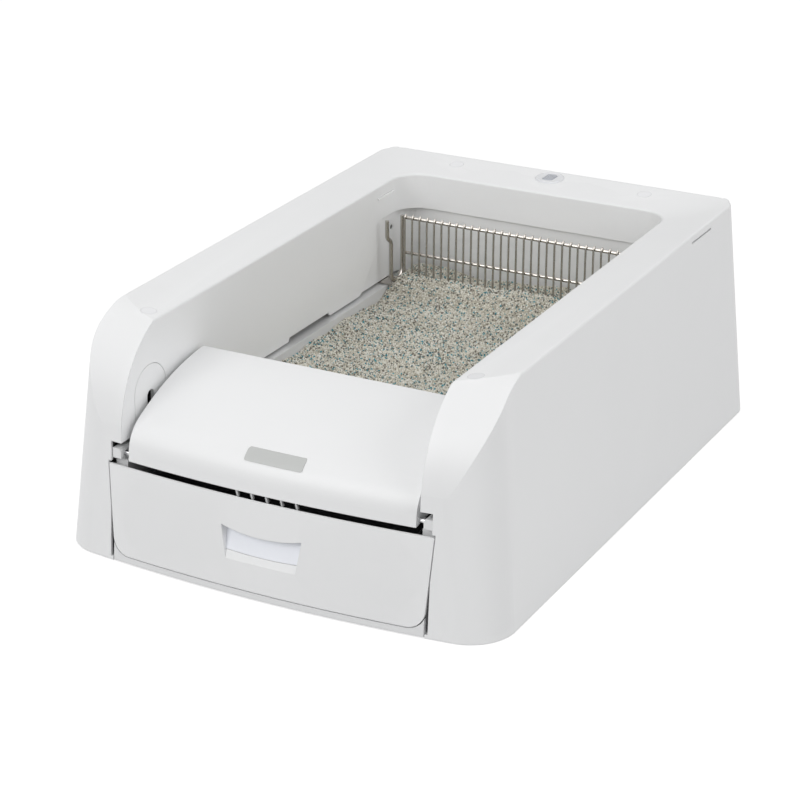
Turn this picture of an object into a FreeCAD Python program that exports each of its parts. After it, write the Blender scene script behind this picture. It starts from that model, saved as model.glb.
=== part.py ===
# Self-cleaning litter box: a long open-topped housing with a step lid and a waste drawer in front,
# a litter tray in the middle, and a wire rake that two belts pull along guide rods hidden in the sides.
# Millimetres. X is to the right, Y to the rear, Z up. The origin is under the middle, on the floor.

import FreeCAD
import Part
import math
import os

V = FreeCAD.Vector
UP = V(0, 0, 1)

# Housing
LENGTH = 712.0
WIDTH = 506.0
HEIGHT = 255.0
TOP_FALL = 5.0
FRONT_BOW = 12.0
BOW_SIDE = 53.0
SIDE_DRAFT = 25.0
FRONT_DRAFT = 19.0
REAR_DRAFT = 6.0
FRONT_CORNER = 50.0
REAR_CORNER = 28.0
WALL = 3.0
SHOULDER_REACH = 105.0
SHOULDER_RISE = 120.0
SHOULDER_CROSS = 18.0
SHOULDER_FOOT = 12.0
SHELL_LIFT = 0.8
SIDE_RIM = 82.5
REAR_RIM = 70.0
RIM_CANT = 8.0
RIM_OVERRUN = 3.0
WELL_CORNER = 32.0
RIM_ROUND = 3.0
WELL_ROUND = 2.5

# Fits
RUN_GAP = 0.3
SEAM_GAP = 1.0
FINE_GAP = 0.05
BEARING_GAP = 0.08
PANEL_GAP = 1.2

# Base
FOOT_STAND = 1.5
FOOT_RADIUS = 11.0
FOOT_STUD = 3.0
FOOT_INSET_X = 60.0
FOOT_INSET_Y = 80.0
POST_FRONT = 105.0
POST_REAR = 15.0
FLOOR_T = 3.0
RIB_T = 3.0
POST_RADIUS = 6.0

# Drawer and bin
DRAWER_BOTTOM = 9.0
DRAWER_TOP = 106.0
DRAWER_TOP_SIDE = 67.0
DRAWER_LOW_SIDE = 73.0
DRAWER_LOW_Z = 26.0
DRAWER_CORNER = 20.0
PLINTH_SIDE = 73.5
PLINTH_PAD_HALF = 1.5
PLINTH_TOP_GAP = 1.0
SLED_T = 2.5
BIN_WALL = 2.0
BIN_SIDE = 16.5
BIN_DRAFT = 5.0
BIN_FRONT = 16.0
BIN_REAR = 164.0
BIN_RIM_Z = 91.0
RUNNER_IN = 34.0
RUNNER_WIDTH = 10.0

# Grip pocket
GRIP_TOP_HALF = 46.0
GRIP_LOW_HALF = 40.0
GRIP_LOW_Z = 39.0
GRIP_TOP_Z = 74.0
GRIP_SAG = 6.0
GRIP_DEPTH = 14.0
GRIP_EAVE = 3.0
GRIP_ROUND = 6.0
GRIP_WALL = 2.0
GRIP_COLLAR = 12.0

# Lid
LID_GAP_X = 6.0
LID_DEPTH = 157.0
LID_REAR_Z = 186.3
LID_REAR_SLOPE = 3.2
LID_CREASE = 37.0
LID_LIP_Z = 111.0
LID_SETBACK = 2.9
LID_LEAN = 0.095
LID_WALL = 3.0
LID_FLAP_Z = 128.0
PIVOT_Y = 18.0
PIVOT_Z = 116.0
PIN_RADIUS = 3.0
RIB_COUNT = 5
RIB_PITCH = 17.0
RIB_WIDTH = 2.2
RIB_LEAN = 1.5
RIB_DEPTH = 3.0
RIB_HANG = 3.0
RIB_GRIP = 4.0
BADGE_X = 5.0
BADGE_HALF = 33.0
BADGE_LOW = 141.5
BADGE_HIGH = 151.5
BADGE_CORNER = 2.0
BADGE_T = 0.6

# Hinge lugs on the base, seen through a notch in each arm
LUG_IN = 2.5
LUG_OUT = 12.5
LUG_FRONT = 9.0
LUG_DEPTH = 20.0
LUG_HEAD = 7.0
NOTCH_GAP_X = 0.6
NOTCH_GAP_Y = 3.0
NOTCH_GAP_Z = 7.5

# Arm covers with their slots
COVER_FRONT = 34.0
COVER_REAR = 92.0
COVER_DROP = 58.0
COVER_SEAM = 0.5
SLOT_Y = 63.5
SLOT_WIDTH = 13.0
SLOT_DROP = 85.7
POCKET_DEPTH = 14.0
POCKET_WALL = 2.0

# Skirt of the well
ARM_SKIRT_Z = 112.0
RECESS_FRONT = 345.0
RECESS_REAR = 440.0
RECESS_RISE = 4.5
SLANT_FOOT = 115.0
SLANT_KNEE = 66.0
SLANT_KNEE_DROP = 76.0
REAR_SKIRT_DROP = 51.5

# Tray and litter
TRAY_RIM_Z = 121.0
TRAY_RIM_T = 3.0
TRAY_FRONT = 168.0
TRAY_WALL = 2.5
TRAY_FLOOR_Z = 40.0
TRAY_DRAFT = 9.0
TRAY_MOUTH_GAP = 7.0
TRAY_FLANGE = 17.5
TRAY_RAMP = 44.0
LITTER_Z = 113.0
LITTER_REAR_Z = 120.0
HEAP_REACH = 130.0
HEAP_BACK = 55.0
HEAP_ROUND = 60.0

# Rear liner
LINER_T = 2.0
LINER_TOP_DROP = 43.0
LINER_BACK = 4.0
LINER_FRONT = 125.0
LINER_CORNER = 18.0
SENSOR_Y = 30.0
SENSOR_DROP = 71.0
SENSOR_RADIUS = 3.0

# Rake
RAKE_Y = 35.0
RAKE_SIDE = 13.5
ROD_TOP_DROP = 54.0
ROD_MIDDLE_DROP = 98.0
RAKE_ROD_RADIUS = 2.0
TINE_RADIUS = 1.25
TINE_COUNT = 32
LOOP_RADIUS = 2.5
LOOP_BEND = 14.5
LOOP_JOG_DROP = 19.0
LOOP_JOG = 10.0
LOOP_JOG_RISE = 8.0
LOOP_TOP_RISE = 6.5
ARM_LIFT = 0.8
ARM_T = 1.6
ARM_CLEAR = 0.8
ARM_LENGTH = 22.0

# Guide rods, carriages and belts
GUIDE_OUT = 29.5
GUIDE_DROP = 17.0
GUIDE_RADIUS = 4.0
GUIDE_FRONT = 150.0
GUIDE_REAR = 60.0
BRACKET_LENGTH = 12.0
BRACKET_WIDTH = 18.0
BUSH_T = 2.0
CARRIAGE_LENGTH = 24.0
CARRIAGE_WIDTH = 17.0
BELT_OUT = 16.0
BELT_WIDTH = 6.0
BELT_T = 1.4
PULLEY_PITCH = 10.0
FLANGE_T = 1.5
FLANGE_RISE = 2.0
SHAFT_RADIUS = 4.0
SHAFT_BACK = 38.0
IDLER_Y = 132.0
AXLE_RADIUS = 3.0

# Motor and gears
MODULE = 1.0
GEAR_TEETH = 36
PINION_TEETH = 14
PRESSURE_ANGLE = 20.0
ADDENDUM = 0.85
DEDENDUM = 1.25
BACKLASH = 0.24
GEAR_X = 100.0
GEAR_WIDTH = 8.0
MOTOR_RADIUS = 17.0
MOTOR_LENGTH = 62.0
MOTOR_SHAFT = 2.0
PLATE_T = 2.5

# Electronics and the control button
BOARD_SIDE = 20.5
BOARD_LENGTH = 120.0
BOARD_LOW = 22.0
BOARD_HIGH = 88.0
BOARD_T = 1.6
STANDOFF = 6.0
JACK_SIDE = 40.5
JACK_Z = 24.0
JACK_SIZE = 14.0
JACK_BORE = 3.2
BUTTON_Y = 28.0
BEZEL_HALF_X = 17.0
BEZEL_HALF_Y = 15.0
BUTTON_HALF_X = 6.5
BUTTON_HALF_Y = 10.5
BUTTON_CORNER = 4.0
BUTTON_ROUND = 1.2
BUTTON_STROKE = 1.5
BUTTON_PROUD = 1.6
PLUG_RADIUS = 8.5
PLUG_FRONT_OUT = 16.5
PLUG_FRONT_Y = 90.0
PLUG_REAR_IN = 48.5
PLUG_REAR_Y = 31.0
HOOD_SLOT_FRONT = 151.0
HOOD_SLOT_REAR = 93.0
HOOD_SLOT_DROP = 9.5
HOOD_SLOT_HEIGHT = 2.0
CATCH_FRONT = 142.0
CATCH_REAR = 104.0
CATCH_DROP = 24.0
CATCH_HEIGHT = 3.0

# Places worked out from the sizes above
FRONT = -(LENGTH / 2.0 - FRONT_BOW)
REAR = LENGTH / 2.0
BOW_HALF_SPAN = WIDTH / 2.0 - BOW_SIDE
BOW_RADIUS = (BOW_HALF_SPAN ** 2 + FRONT_BOW ** 2) / (2.0 * FRONT_BOW)
BOW_CENTRE = FRONT - FRONT_BOW + BOW_RADIUS
OPEN_HALF = WIDTH / 2.0 - SIDE_RIM
OPEN_REAR = REAR - REAR_RIM
DRAWER_TOP_HALF = WIDTH / 2.0 - DRAWER_TOP_SIDE
DRAWER_LOW_HALF = WIDTH / 2.0 - DRAWER_LOW_SIDE
PLINTH_HALF = WIDTH / 2.0 - PLINTH_SIDE
BIN_HALF = OPEN_HALF - BIN_SIDE
RUNNER_X = BIN_HALF - RUNNER_IN
LUG_INNER = OPEN_HALF + LUG_IN
LUG_OUTER = OPEN_HALF + LUG_OUT
RAKE_HALF = OPEN_HALF - RAKE_SIDE
ROD_TOP_Z = HEIGHT - ROD_TOP_DROP
ROD_MIDDLE_Z = HEIGHT - ROD_MIDDLE_DROP
COVER_TOP = HEIGHT - COVER_DROP
SLOT_TOP = HEIGHT - SLOT_DROP
SLANT_KNEE_Z = HEIGHT - SLANT_KNEE_DROP
REAR_SKIRT_Z = HEIGHT - REAR_SKIRT_DROP
LINER_TOP_Z = HEIGHT - LINER_TOP_DROP
SENSOR_Z = HEIGHT - SENSOR_DROP
BOARD_X = BOARD_SIDE - OPEN_HALF
JACK_X = OPEN_HALF - JACK_SIDE
RIM_RUN_X = SIDE_RIM - SIDE_DRAFT + RIM_OVERRUN
RIM_RUN_Y = REAR_RIM - REAR_DRAFT + RIM_OVERRUN
FRONT_TOP = HEIGHT - TOP_FALL
SHOULDER_Z = FRONT_TOP - SHOULDER_RISE
FLOOR_TOP = FOOT_STAND + FLOOR_T
GUIDE_X = OPEN_HALF + GUIDE_OUT
GUIDE_Z = TRAY_RIM_Z - GUIDE_DROP
BELT_X = GUIDE_X + BELT_OUT
SHAFT_Y = REAR - SHAFT_BACK
GUIDE_END = REAR - GUIDE_REAR
ARM_LOW = TRAY_RIM_Z + ARM_LIFT
ARM_TOP = ARM_LOW + ARM_T
SKIRT_Z = ARM_TOP + ARM_CLEAR
TINE_LOW_Z = ARM_TOP + FINE_GAP
PULLEY_RADIUS = PULLEY_PITCH - BELT_T / 2.0 - RUN_GAP
GEAR_DISTANCE = MODULE * (GEAR_TEETH + PINION_TEETH) / 2.0
LID_HALF = OPEN_HALF - LID_GAP_X
RAKE_AT = OPEN_REAR - RAKE_Y
POST_Z = TRAY_RIM_Z + 1.0
POST_PLACES = [
    (GUIDE_X + 5.0, FRONT + POST_FRONT),
    (GUIDE_X + 15.0, REAR - POST_REAR),
]
TOO_FAR = 2.0 * LENGTH
BACK_WALL_Y = OPEN_REAR + LINER_BACK + LINER_T + 0.15


def block(x0, x1, y0, y1, z0, z1):
    return Part.makeBox(x1 - x0, y1 - y0, z1 - z0, V(x0, y0, z0))


def rod_x(x0, x1, y, z, radius):
    return Part.makeCylinder(radius, x1 - x0, V(x0, y, z), V(1, 0, 0))


def rod_y(x, y0, y1, z, radius):
    return Part.makeCylinder(radius, y1 - y0, V(x, y0, z), V(0, 1, 0))


def rod_z(x, y, z0, z1, radius):
    return Part.makeCylinder(radius, z1 - z0, V(x, y, z0), UP)


def mirrored(shape):
    return shape.mirror(V(0, 0, 0), V(1, 0, 0))


def pair(shape):
    return Part.makeCompound([shape, mirrored(shape)])


def fused(shapes):
    return shapes[0].fuse(shapes[1:]).removeSplitter()


def outline(points, radii):
    """A closed wire through the points, each corner rounded by its radius."""
    edges = []
    ends = []
    count = len(points)
    for i in range(count):
        before = points[i - 1]
        here = points[i]
        after = points[(i + 1) % count]
        a = (before - here).normalize()
        b = (after - here).normalize()
        radius = radii[i]
        if radius <= 0:
            ends.append((here, here))
            continue
        half = a.getAngle(b) / 2.0
        back = radius / math.tan(half)
        middle = (a + b).normalize()
        centre = here + middle * (radius / math.sin(half))
        ends.append((here + a * back, here + b * back))
        edges.append((i, Part.Arc(here + a * back, centre - middle * radius, here + b * back).toShape()))
    arcs = dict(edges)
    chain = []
    for i in range(count):
        if i in arcs:
            chain.append(arcs[i])
        start = ends[i][1]
        finish = ends[(i + 1) % count][0]
        if (finish - start).Length > 1e-6:
            chain.append(Part.LineSegment(start, finish).toShape())
    return Part.Wire(chain)


def side_prism(points, radii, x0, x1):
    """A solid from (y, z) points, extruded from x0 to x1."""
    wire = outline([V(x0, y, z) for y, z in points], radii)
    return Part.Face(wire).extrude(V(x1 - x0, 0, 0))


def front_prism(points, radii, y0, y1):
    """A solid from (x, z) points, extruded from y0 to y1."""
    wire = outline([V(x, y0, z) for x, z in points], radii)
    return Part.Face(wire).extrude(V(0, y1 - y0, 0))


def plan_prism(points, radii, z0, z1):
    """A solid from (x, y) points, extruded from z0 to z1."""
    wire = outline([V(x, y, z0) for x, y in points], radii)
    return Part.Face(wire).extrude(V(0, 0, z1 - z0))


def front_line(z):
    """Y of the housing's front face on the middle plane."""
    return FRONT - FRONT_BOW + FRONT_DRAFT * z / HEIGHT


def plan_wire(z, inset):
    """The housing's outline at a height, moved in by an inset."""
    rise = z / HEIGHT
    half = WIDTH / 2.0 - SIDE_DRAFT * rise - inset
    rear = REAR - REAR_DRAFT * rise - inset
    centre = V(0, front_line(z) + BOW_RADIUS, z)
    bow = BOW_RADIUS - inset
    corner = FRONT_CORNER - inset
    back = REAR_CORNER - inset
    corner_y = centre.y - math.sqrt((bow - corner) ** 2 - (half - corner) ** 2)
    corner_centre = V(half - corner, corner_y, z)
    out = (corner_centre - centre).normalize()
    touch = centre + out * bow
    middle = corner_centre + (out + V(1, 0, 0)).normalize() * corner
    rear_centre = V(half - back, rear - back, z)
    rear_middle = rear_centre + V(1, 1, 0).normalize() * back

    def flip(p):
        return V(-p.x, p.y, p.z)

    side_front = V(half, corner_y, z)
    side_rear = V(half, rear - back, z)
    rear_end = V(half - back, rear, z)
    edges = [
        Part.Arc(flip(touch), centre - V(0, bow, 0), touch).toShape(),
        Part.Arc(touch, middle, side_front).toShape(),
        Part.LineSegment(side_front, side_rear).toShape(),
        Part.Arc(side_rear, rear_middle, rear_end).toShape(),
        Part.LineSegment(rear_end, flip(rear_end)).toShape(),
        Part.Arc(flip(rear_end), flip(rear_middle), flip(side_rear)).toShape(),
        Part.LineSegment(flip(side_rear), flip(side_front)).toShape(),
        Part.Arc(flip(side_front), flip(middle), flip(touch)).toShape(),
    ]
    return Part.Wire(edges)


def plan_form(inset, z0, z1):
    """The drafted housing outline as a solid between two heights."""
    return Part.makeLoft([plan_wire(z0, inset), plan_wire(z1, inset)], True, True)


def shoulder_centre(inset):
    """Y of the shoulder's centre: it crosses the front face a little above its own foot."""
    cross = SHOULDER_CROSS + 4.0 * inset
    share = cross / (SHOULDER_RISE - inset)
    reach = SHOULDER_REACH - inset
    return front_line(SHOULDER_Z + cross) + 1.3 * inset + reach * math.sqrt(1.0 - share ** 2)


SHOULDER_Y = shoulder_centre(0.0)
TOP_SLOPE = TOP_FALL / (REAR - SHOULDER_Y)


def top_line(y):
    """Height of the housing's top edge."""
    return FRONT_TOP + TOP_SLOPE * (y - SHOULDER_Y)


def rim_z(x, y):
    """Height of the canted rim at a place on it."""
    side = (abs(x) - OPEN_HALF) / RIM_RUN_X
    rear = (y - OPEN_REAR) / RIM_RUN_Y
    return top_line(y) - RIM_CANT * (1.0 - max(side, rear))


def shoulder_form(inset):
    """The side profile, with its elliptical shoulder, swept round the front bow."""
    reach = SHOULDER_REACH - inset
    rise = SHOULDER_RISE - inset
    turn = math.acos(SHOULDER_FOOT / rise)
    centre = shoulder_centre(inset)
    top = V(0, centre, SHOULDER_Z + rise)
    pole = V(0, centre - reach * math.tan(turn / 2.0), SHOULDER_Z + rise)
    foot = V(0, centre - reach * math.sin(turn), SHOULDER_Z + rise * math.cos(turn))
    lean = reach * math.cos(turn) / (rise * math.sin(turn))
    low = V(0, foot.y - lean * (foot.z + WALL), -WALL)
    far = REAR + WALL
    shoulder = Part.BezierCurve()
    shoulder.setPoles([foot, pole, top])
    shoulder.setWeight(2, math.cos(turn / 2.0))
    rear_top = V(0, far, top_line(far) - inset)
    rear_low = V(0, far, -WALL)
    edges = [
        Part.LineSegment(low, foot).toShape(),
        shoulder.toShape(),
        Part.LineSegment(top, rear_top).toShape(),
        Part.LineSegment(rear_top, rear_low).toShape(),
        Part.LineSegment(rear_low, low).toShape(),
    ]
    face = Part.Face(Part.Wire(edges))
    sweep = 50.0
    axis = V(0, BOW_CENTRE, 0)
    face.rotate(axis, UP, -sweep / 2.0)
    return face.revolve(axis, UP, sweep)


def funnel(inset):
    """What lies above the canted rim, with round corners and the slope of the top."""
    rings = []
    for share in (-0.2, 2.0):
        half = OPEN_HALF + share * RIM_RUN_X
        rear = OPEN_REAR + share * RIM_RUN_Y
        z = share * RIM_CANT
        points = [V(-half, -TOO_FAR, z), V(half, -TOO_FAR, z), V(half, rear, z), V(-half, rear, z)]
        rings.append(outline(points, [0, 0, WELL_CORNER, WELL_CORNER]))
    tool = Part.makeLoft(rings, True, True)
    tool.rotate(V(0, 0, 0), V(1, 0, 0), math.degrees(math.atan(TOP_SLOPE)))
    tool.translate(V(0, 0, top_line(0.0) - RIM_CANT - inset))
    return tool


def housing_form(inset):
    """The outer shape of the whole housing, moved in by an inset."""
    return plan_form(inset, -WALL, HEIGHT + WALL).common(shoulder_form(inset)).cut(funnel(inset))


def well_prism(grow, z0, z1):
    """The open well between the arms, from in front of the housing to its rear corners."""
    half = OPEN_HALF + grow
    rear = OPEN_REAR + grow
    corner = WELL_CORNER + grow
    points = [(-half, -LENGTH), (half, -LENGTH), (half, rear), (-half, rear)]
    return plan_prism(points, [0, 0, corner, corner], z0, z1)


def skirt_profile():
    """Everything above the lower edge of the well's skirt, as seen from the side."""
    high = HEIGHT * 2.0
    slant = OPEN_REAR - SLANT_FOOT
    knee = OPEN_REAR - SLANT_KNEE
    points = [
        (-LENGTH, ARM_SKIRT_Z),
        (FRONT + LID_DEPTH - 7.0, ARM_SKIRT_Z),
        (FRONT + LID_DEPTH + 5.0, SKIRT_Z),
        (FRONT + RECESS_FRONT, SKIRT_Z),
        (FRONT + RECESS_FRONT + 2.0, SKIRT_Z + RECESS_RISE),
        (FRONT + RECESS_REAR - 2.0, SKIRT_Z + RECESS_RISE),
        (FRONT + RECESS_REAR, SKIRT_Z),
        (slant, SKIRT_Z),
        (knee, SLANT_KNEE_Z),
        (knee + 5.0, REAR_SKIRT_Z),
        (LENGTH, REAR_SKIRT_Z),
        (LENGTH, high),
        (-LENGTH, high),
    ]
    radii = [0] * len(points)
    radii[7] = 12.0
    radii[8] = 12.0
    return side_prism(points, radii, -WIDTH, WIDTH)


def drawer_outline(grow):
    """Corners of the drawer front, seen from the front, with the gap round it."""
    lean = (DRAWER_TOP_HALF - DRAWER_LOW_HALF) / (DRAWER_TOP - DRAWER_LOW_Z)
    low_half = DRAWER_LOW_HALF - lean * (DRAWER_LOW_Z - DRAWER_BOTTOM) + grow
    low = DRAWER_BOTTOM - grow
    high = DRAWER_TOP + grow
    top_half = DRAWER_TOP_HALF + grow
    return [(-low_half, low), (low_half, low), (top_half, high), (-top_half, high)]


def front_opening():
    """What the housing leaves open for the drawer and the plinth strip below it."""
    top = drawer_outline(PANEL_GAP)
    upper = front_prism(
        [top[0], top[1], (top[2][0], ARM_SKIRT_Z - WALL), (top[3][0], ARM_SKIRT_Z - WALL)],
        [DRAWER_CORNER, DRAWER_CORNER, 0, 0],
        -LENGTH,
        FRONT + 30.0,
    )
    half = PLINTH_HALF + SEAM_GAP
    lower = block(-half, half, -LENGTH, FRONT + 30.0, -WALL, DRAWER_BOTTOM + DRAWER_CORNER)
    return upper.fuse(lower)


def arm_cover_prism(grow, x0, x1):
    """The inverted U of an arm cover."""
    front = FRONT + COVER_FRONT - grow
    rear = FRONT + COVER_REAR + grow
    top = COVER_TOP + grow
    radius = (rear - front) / 2.0 - 0.5
    points = [(front, ARM_SKIRT_Z - 1.0), (rear, ARM_SKIRT_Z - 1.0), (rear, top), (front, top)]
    return side_prism(points, [0, 0, radius, radius], x0, x1)


def arm_slot_prism(grow, x0, x1):
    """The slot in an arm cover."""
    front = FRONT + SLOT_Y - SLOT_WIDTH / 2.0 - grow
    rear = FRONT + SLOT_Y + SLOT_WIDTH / 2.0 + grow
    top = SLOT_TOP + grow
    radius = (rear - front) / 2.0 - 0.1
    points = [(front, ARM_SKIRT_Z - 4.0), (rear, ARM_SKIRT_Z - 4.0), (rear, top), (front, top)]
    return side_prism(points, [0, 0, radius, radius], x0, x1)


def plug_places():
    front = [(sign * (OPEN_HALF + PLUG_FRONT_OUT), FRONT + PLUG_FRONT_Y) for sign in (-1, 1)]
    rear = [(sign * (OPEN_HALF - PLUG_REAR_IN), REAR - PLUG_REAR_Y) for sign in (-1, 1)]
    return front + rear


def catch_block(grow, x0, x1):
    """The hood catch on the well's side."""
    z = HEIGHT - CATCH_DROP - CATCH_HEIGHT / 2.0
    y0 = REAR - CATCH_FRONT
    y1 = REAR - CATCH_REAR
    return block(x0, x1, y0 - grow, y1 + grow, z - grow, z + CATCH_HEIGHT + grow)


def bezel_prism(grow, z0, z1):
    """The oval place of the control button, on the rear rim."""
    y = REAR - BUTTON_Y
    half_x = BEZEL_HALF_X + grow
    half_y = BEZEL_HALF_Y + grow
    points = [(-half_x, y - half_y), (half_x, y - half_y), (half_x, y + half_y), (-half_x, y + half_y)]
    return plan_prism(points, [half_y - 0.1] * 4, z0, z1)


def side_edges(body):
    """The two long top edges of the housing's sides."""
    found = []
    for edge in body.Edges:
        box = edge.optimalBoundingBox(True, False)
        outside = min(abs(box.XMin), abs(box.XMax)) > OPEN_HALF + SIDE_DRAFT
        if outside and box.ZMin > FRONT_TOP - RIM_CANT and box.YLength > LENGTH / 2.0:
            found.append(edge)
    return found


def well_edges(body):
    """The top edges of the well, behind the shoulders."""
    found = []
    for edge in body.Edges:
        box = edge.optimalBoundingBox(True, False)
        inside = max(abs(box.XMin), abs(box.XMax)) < OPEN_HALF + RUN_GAP
        high = box.ZMin > FRONT_TOP - 2.0 * RIM_CANT
        if inside and high and box.YMax > SHOULDER_Y + WALL and edge.Length > WALL:
            found.append(edge)
    return found


def make_outer_shell(outer, inner):
    skirt = well_prism(WALL, -WALL, HEIGHT * 2.0).common(skirt_profile())
    body = outer.cut(well_prism(0.0, -WALL, HEIGHT * 2.0))
    body = body.makeFillet(RIM_ROUND, side_edges(body))
    body = body.makeFillet(WELL_ROUND, well_edges(body))
    shell = body.cut(inner.cut(skirt))
    shell = shell.cut(block(-WIDTH, WIDTH, -LENGTH, LENGTH, -2.0 * WALL, SHELL_LIFT))
    tools = [front_opening()]
    notch_top = TRAY_RIM_Z + 2.0 + NOTCH_GAP_Z
    slot_z = top_line(REAR - HOOD_SLOT_FRONT) - HOOD_SLOT_DROP
    for sign in (1, -1):
        tool = block(
            OPEN_HALF - 5.0,
            LUG_OUTER + NOTCH_GAP_X,
            -LENGTH,
            FRONT + LUG_FRONT + LUG_DEPTH + NOTCH_GAP_Y,
            FLOOR_TOP,
            notch_top,
        )
        cover = arm_cover_prism(COVER_SEAM, OPEN_HALF - WALL, OPEN_HALF + 2.0 * WALL)
        catch = catch_block(RUN_GAP, OPEN_HALF - WALL, OPEN_HALF + 2.0 * WALL)
        slot = block(
            WIDTH / 2.0 - SIDE_DRAFT - 2.0 * WALL,
            WIDTH / 2.0,
            REAR - HOOD_SLOT_FRONT,
            REAR - HOOD_SLOT_REAR,
            slot_z,
            slot_z + HOOD_SLOT_HEIGHT,
        )
        for shape in (tool, cover, catch, slot):
            tools.append(shape if sign > 0 else mirrored(shape))
    for x, y in plug_places():
        tools.append(rod_z(x, y, HEIGHT - 40.0, HEIGHT + 5.0, PLUG_RADIUS + FINE_GAP))
    tools.append(bezel_prism(FINE_GAP, HEIGHT - 30.0, HEIGHT + 5.0))
    half = JACK_SIZE / 2.0 + SEAM_GAP
    tools.append(block(JACK_X - half, JACK_X + half, REAR - 15.0, REAR + 5.0, 0.0, JACK_Z + half))
    shell = shell.cut(tools)
    bosses = []
    for x, y in POST_PLACES:
        boss = rod_z(x, y, POST_Z + RUN_GAP, HEIGHT, POST_RADIUS).common(outer)
        bosses.append(boss)
        bosses.append(mirrored(boss))
    return shell.fuse(bosses)


def make_hood_plugs(outer, inner, deeper):
    plugs = []
    for x, y in plug_places():
        cap = rod_z(x, y, HEIGHT - 40.0, HEIGHT + 5.0, PLUG_RADIUS).common(outer)
        collar = rod_z(x, y, HEIGHT - 40.0, HEIGHT + 5.0, PLUG_RADIUS + 2.0).common(inner)
        plugs.append(cap.fuse(collar).cut(deeper))
    return Part.makeCompound(plugs)


def make_hood_catch():
    bar = catch_block(0.0, OPEN_HALF - 1.5, OPEN_HALF + WALL)
    back = catch_block(2.0, OPEN_HALF + WALL, OPEN_HALF + WALL + 2.0)
    return pair(bar.fuse(back).removeSplitter())


def make_arm_cover():
    plate = arm_cover_prism(0.0, OPEN_HALF, OPEN_HALF + WALL)
    flange = arm_cover_prism(3.0, OPEN_HALF + WALL, OPEN_HALF + WALL + 1.5)
    slot = arm_slot_prism(0.0, OPEN_HALF - WALL, OPEN_HALF + 3.0 * WALL)
    low = block(0, WIDTH, -LENGTH, LENGTH, 0, ARM_SKIRT_Z)
    return plate.fuse(flange).cut([slot, low]).removeSplitter()


def make_slot_pocket():
    x0 = OPEN_HALF + WALL + 1.5
    body = arm_slot_prism(POCKET_WALL + 2.0, x0, x0 + POCKET_DEPTH)
    hollow = arm_slot_prism(2.0, x0 - 1.0, x0 + POCKET_DEPTH - POCKET_WALL)
    low = block(0, WIDTH, -LENGTH, LENGTH, 0, ARM_SKIRT_Z)
    return body.cut([hollow, low])


def make_button_bezel():
    z = rim_z(0, REAR - BUTTON_Y)
    body = bezel_prism(0.0, z - 5.0, z + 0.8)
    flange = bezel_prism(2.5, z - 8.0, z - 5.5)
    neck = bezel_prism(-1.0, z - 6.0, z - 4.0)
    well = button_prism(RUN_GAP, z - 10.0, z + 5.0)
    return fused([body, neck, flange]).cut(well).removeSplitter()


def button_prism(grow, z0, z1):
    """The control button's pad with round corners."""
    x = BUTTON_HALF_X + grow
    y0 = REAR - BUTTON_Y - BUTTON_HALF_Y - grow
    y1 = REAR - BUTTON_Y + BUTTON_HALF_Y + grow
    return plan_prism([(-x, y0), (x, y0), (x, y1), (-x, y1)], [BUTTON_CORNER + grow] * 4, z0, z1)


def make_control_button():
    z = rim_z(0, REAR - BUTTON_Y)
    y = REAR - BUTTON_Y
    cap = button_prism(0.0, z - 6.0, z + BUTTON_PROUD)
    rim = [e for e in cap.Edges if e.BoundBox.ZMin > z + BUTTON_PROUD - 0.01]
    cap = cap.makeFillet(BUTTON_ROUND, rim)
    stem = rod_z(0, y, z - 9.0, z - 6.0, 2.0)
    return cap.fuse(stem).removeSplitter()


def make_button_board():
    z = rim_z(0, REAR - BUTTON_Y)
    y = REAR - BUTTON_Y
    top = z - 9.0 - BUTTON_STROKE - 2.0
    board = block(-BEZEL_HALF_X - 3.0, BEZEL_HALF_X + 3.0, y - 14.0, y + 14.0, top - BOARD_T, top)
    switch = block(-3.0, 3.0, y - 3.0, y + 3.0, top, top + 1.8)
    parts = [board, switch]
    for x in (-BEZEL_HALF_X, BEZEL_HALF_X):
        parts.append(rod_z(x, y, top, z - 8.0 - FINE_GAP, 2.0))
    return fused(parts)


def make_plinth_strip():
    """The base's front strip, with its corners beside the drawer and two pads under it."""
    high = DRAWER_BOTTOM + DRAWER_CORNER
    skin = plan_form(0.0, FOOT_STAND, high).cut(plan_form(WALL + SEAM_GAP + 1.0, -WALL, high + WALL))
    strip = skin.common(block(-PLINTH_HALF, PLINTH_HALF, -LENGTH, FRONT + 40.0, 0, HEIGHT))
    corner = DRAWER_CORNER + PLINTH_TOP_GAP
    drawer = front_prism(drawer_outline(PLINTH_TOP_GAP), [corner, corner, 0, 0], -LENGTH, FRONT + 60.0)
    pads = []
    for sign in (-1, 1):
        x = sign * (GRIP_TOP_HALF + PLINTH_PAD_HALF)
        low = DRAWER_BOTTOM - PLINTH_TOP_GAP
        pad = block(x - PLINTH_PAD_HALF, x + PLINTH_PAD_HALF, -LENGTH, FRONT, low, low + PLINTH_TOP_GAP / 2.0)
        pads.append(pad.common(skin))
    return strip.cut(drawer).fuse(pads).removeSplitter()


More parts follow.
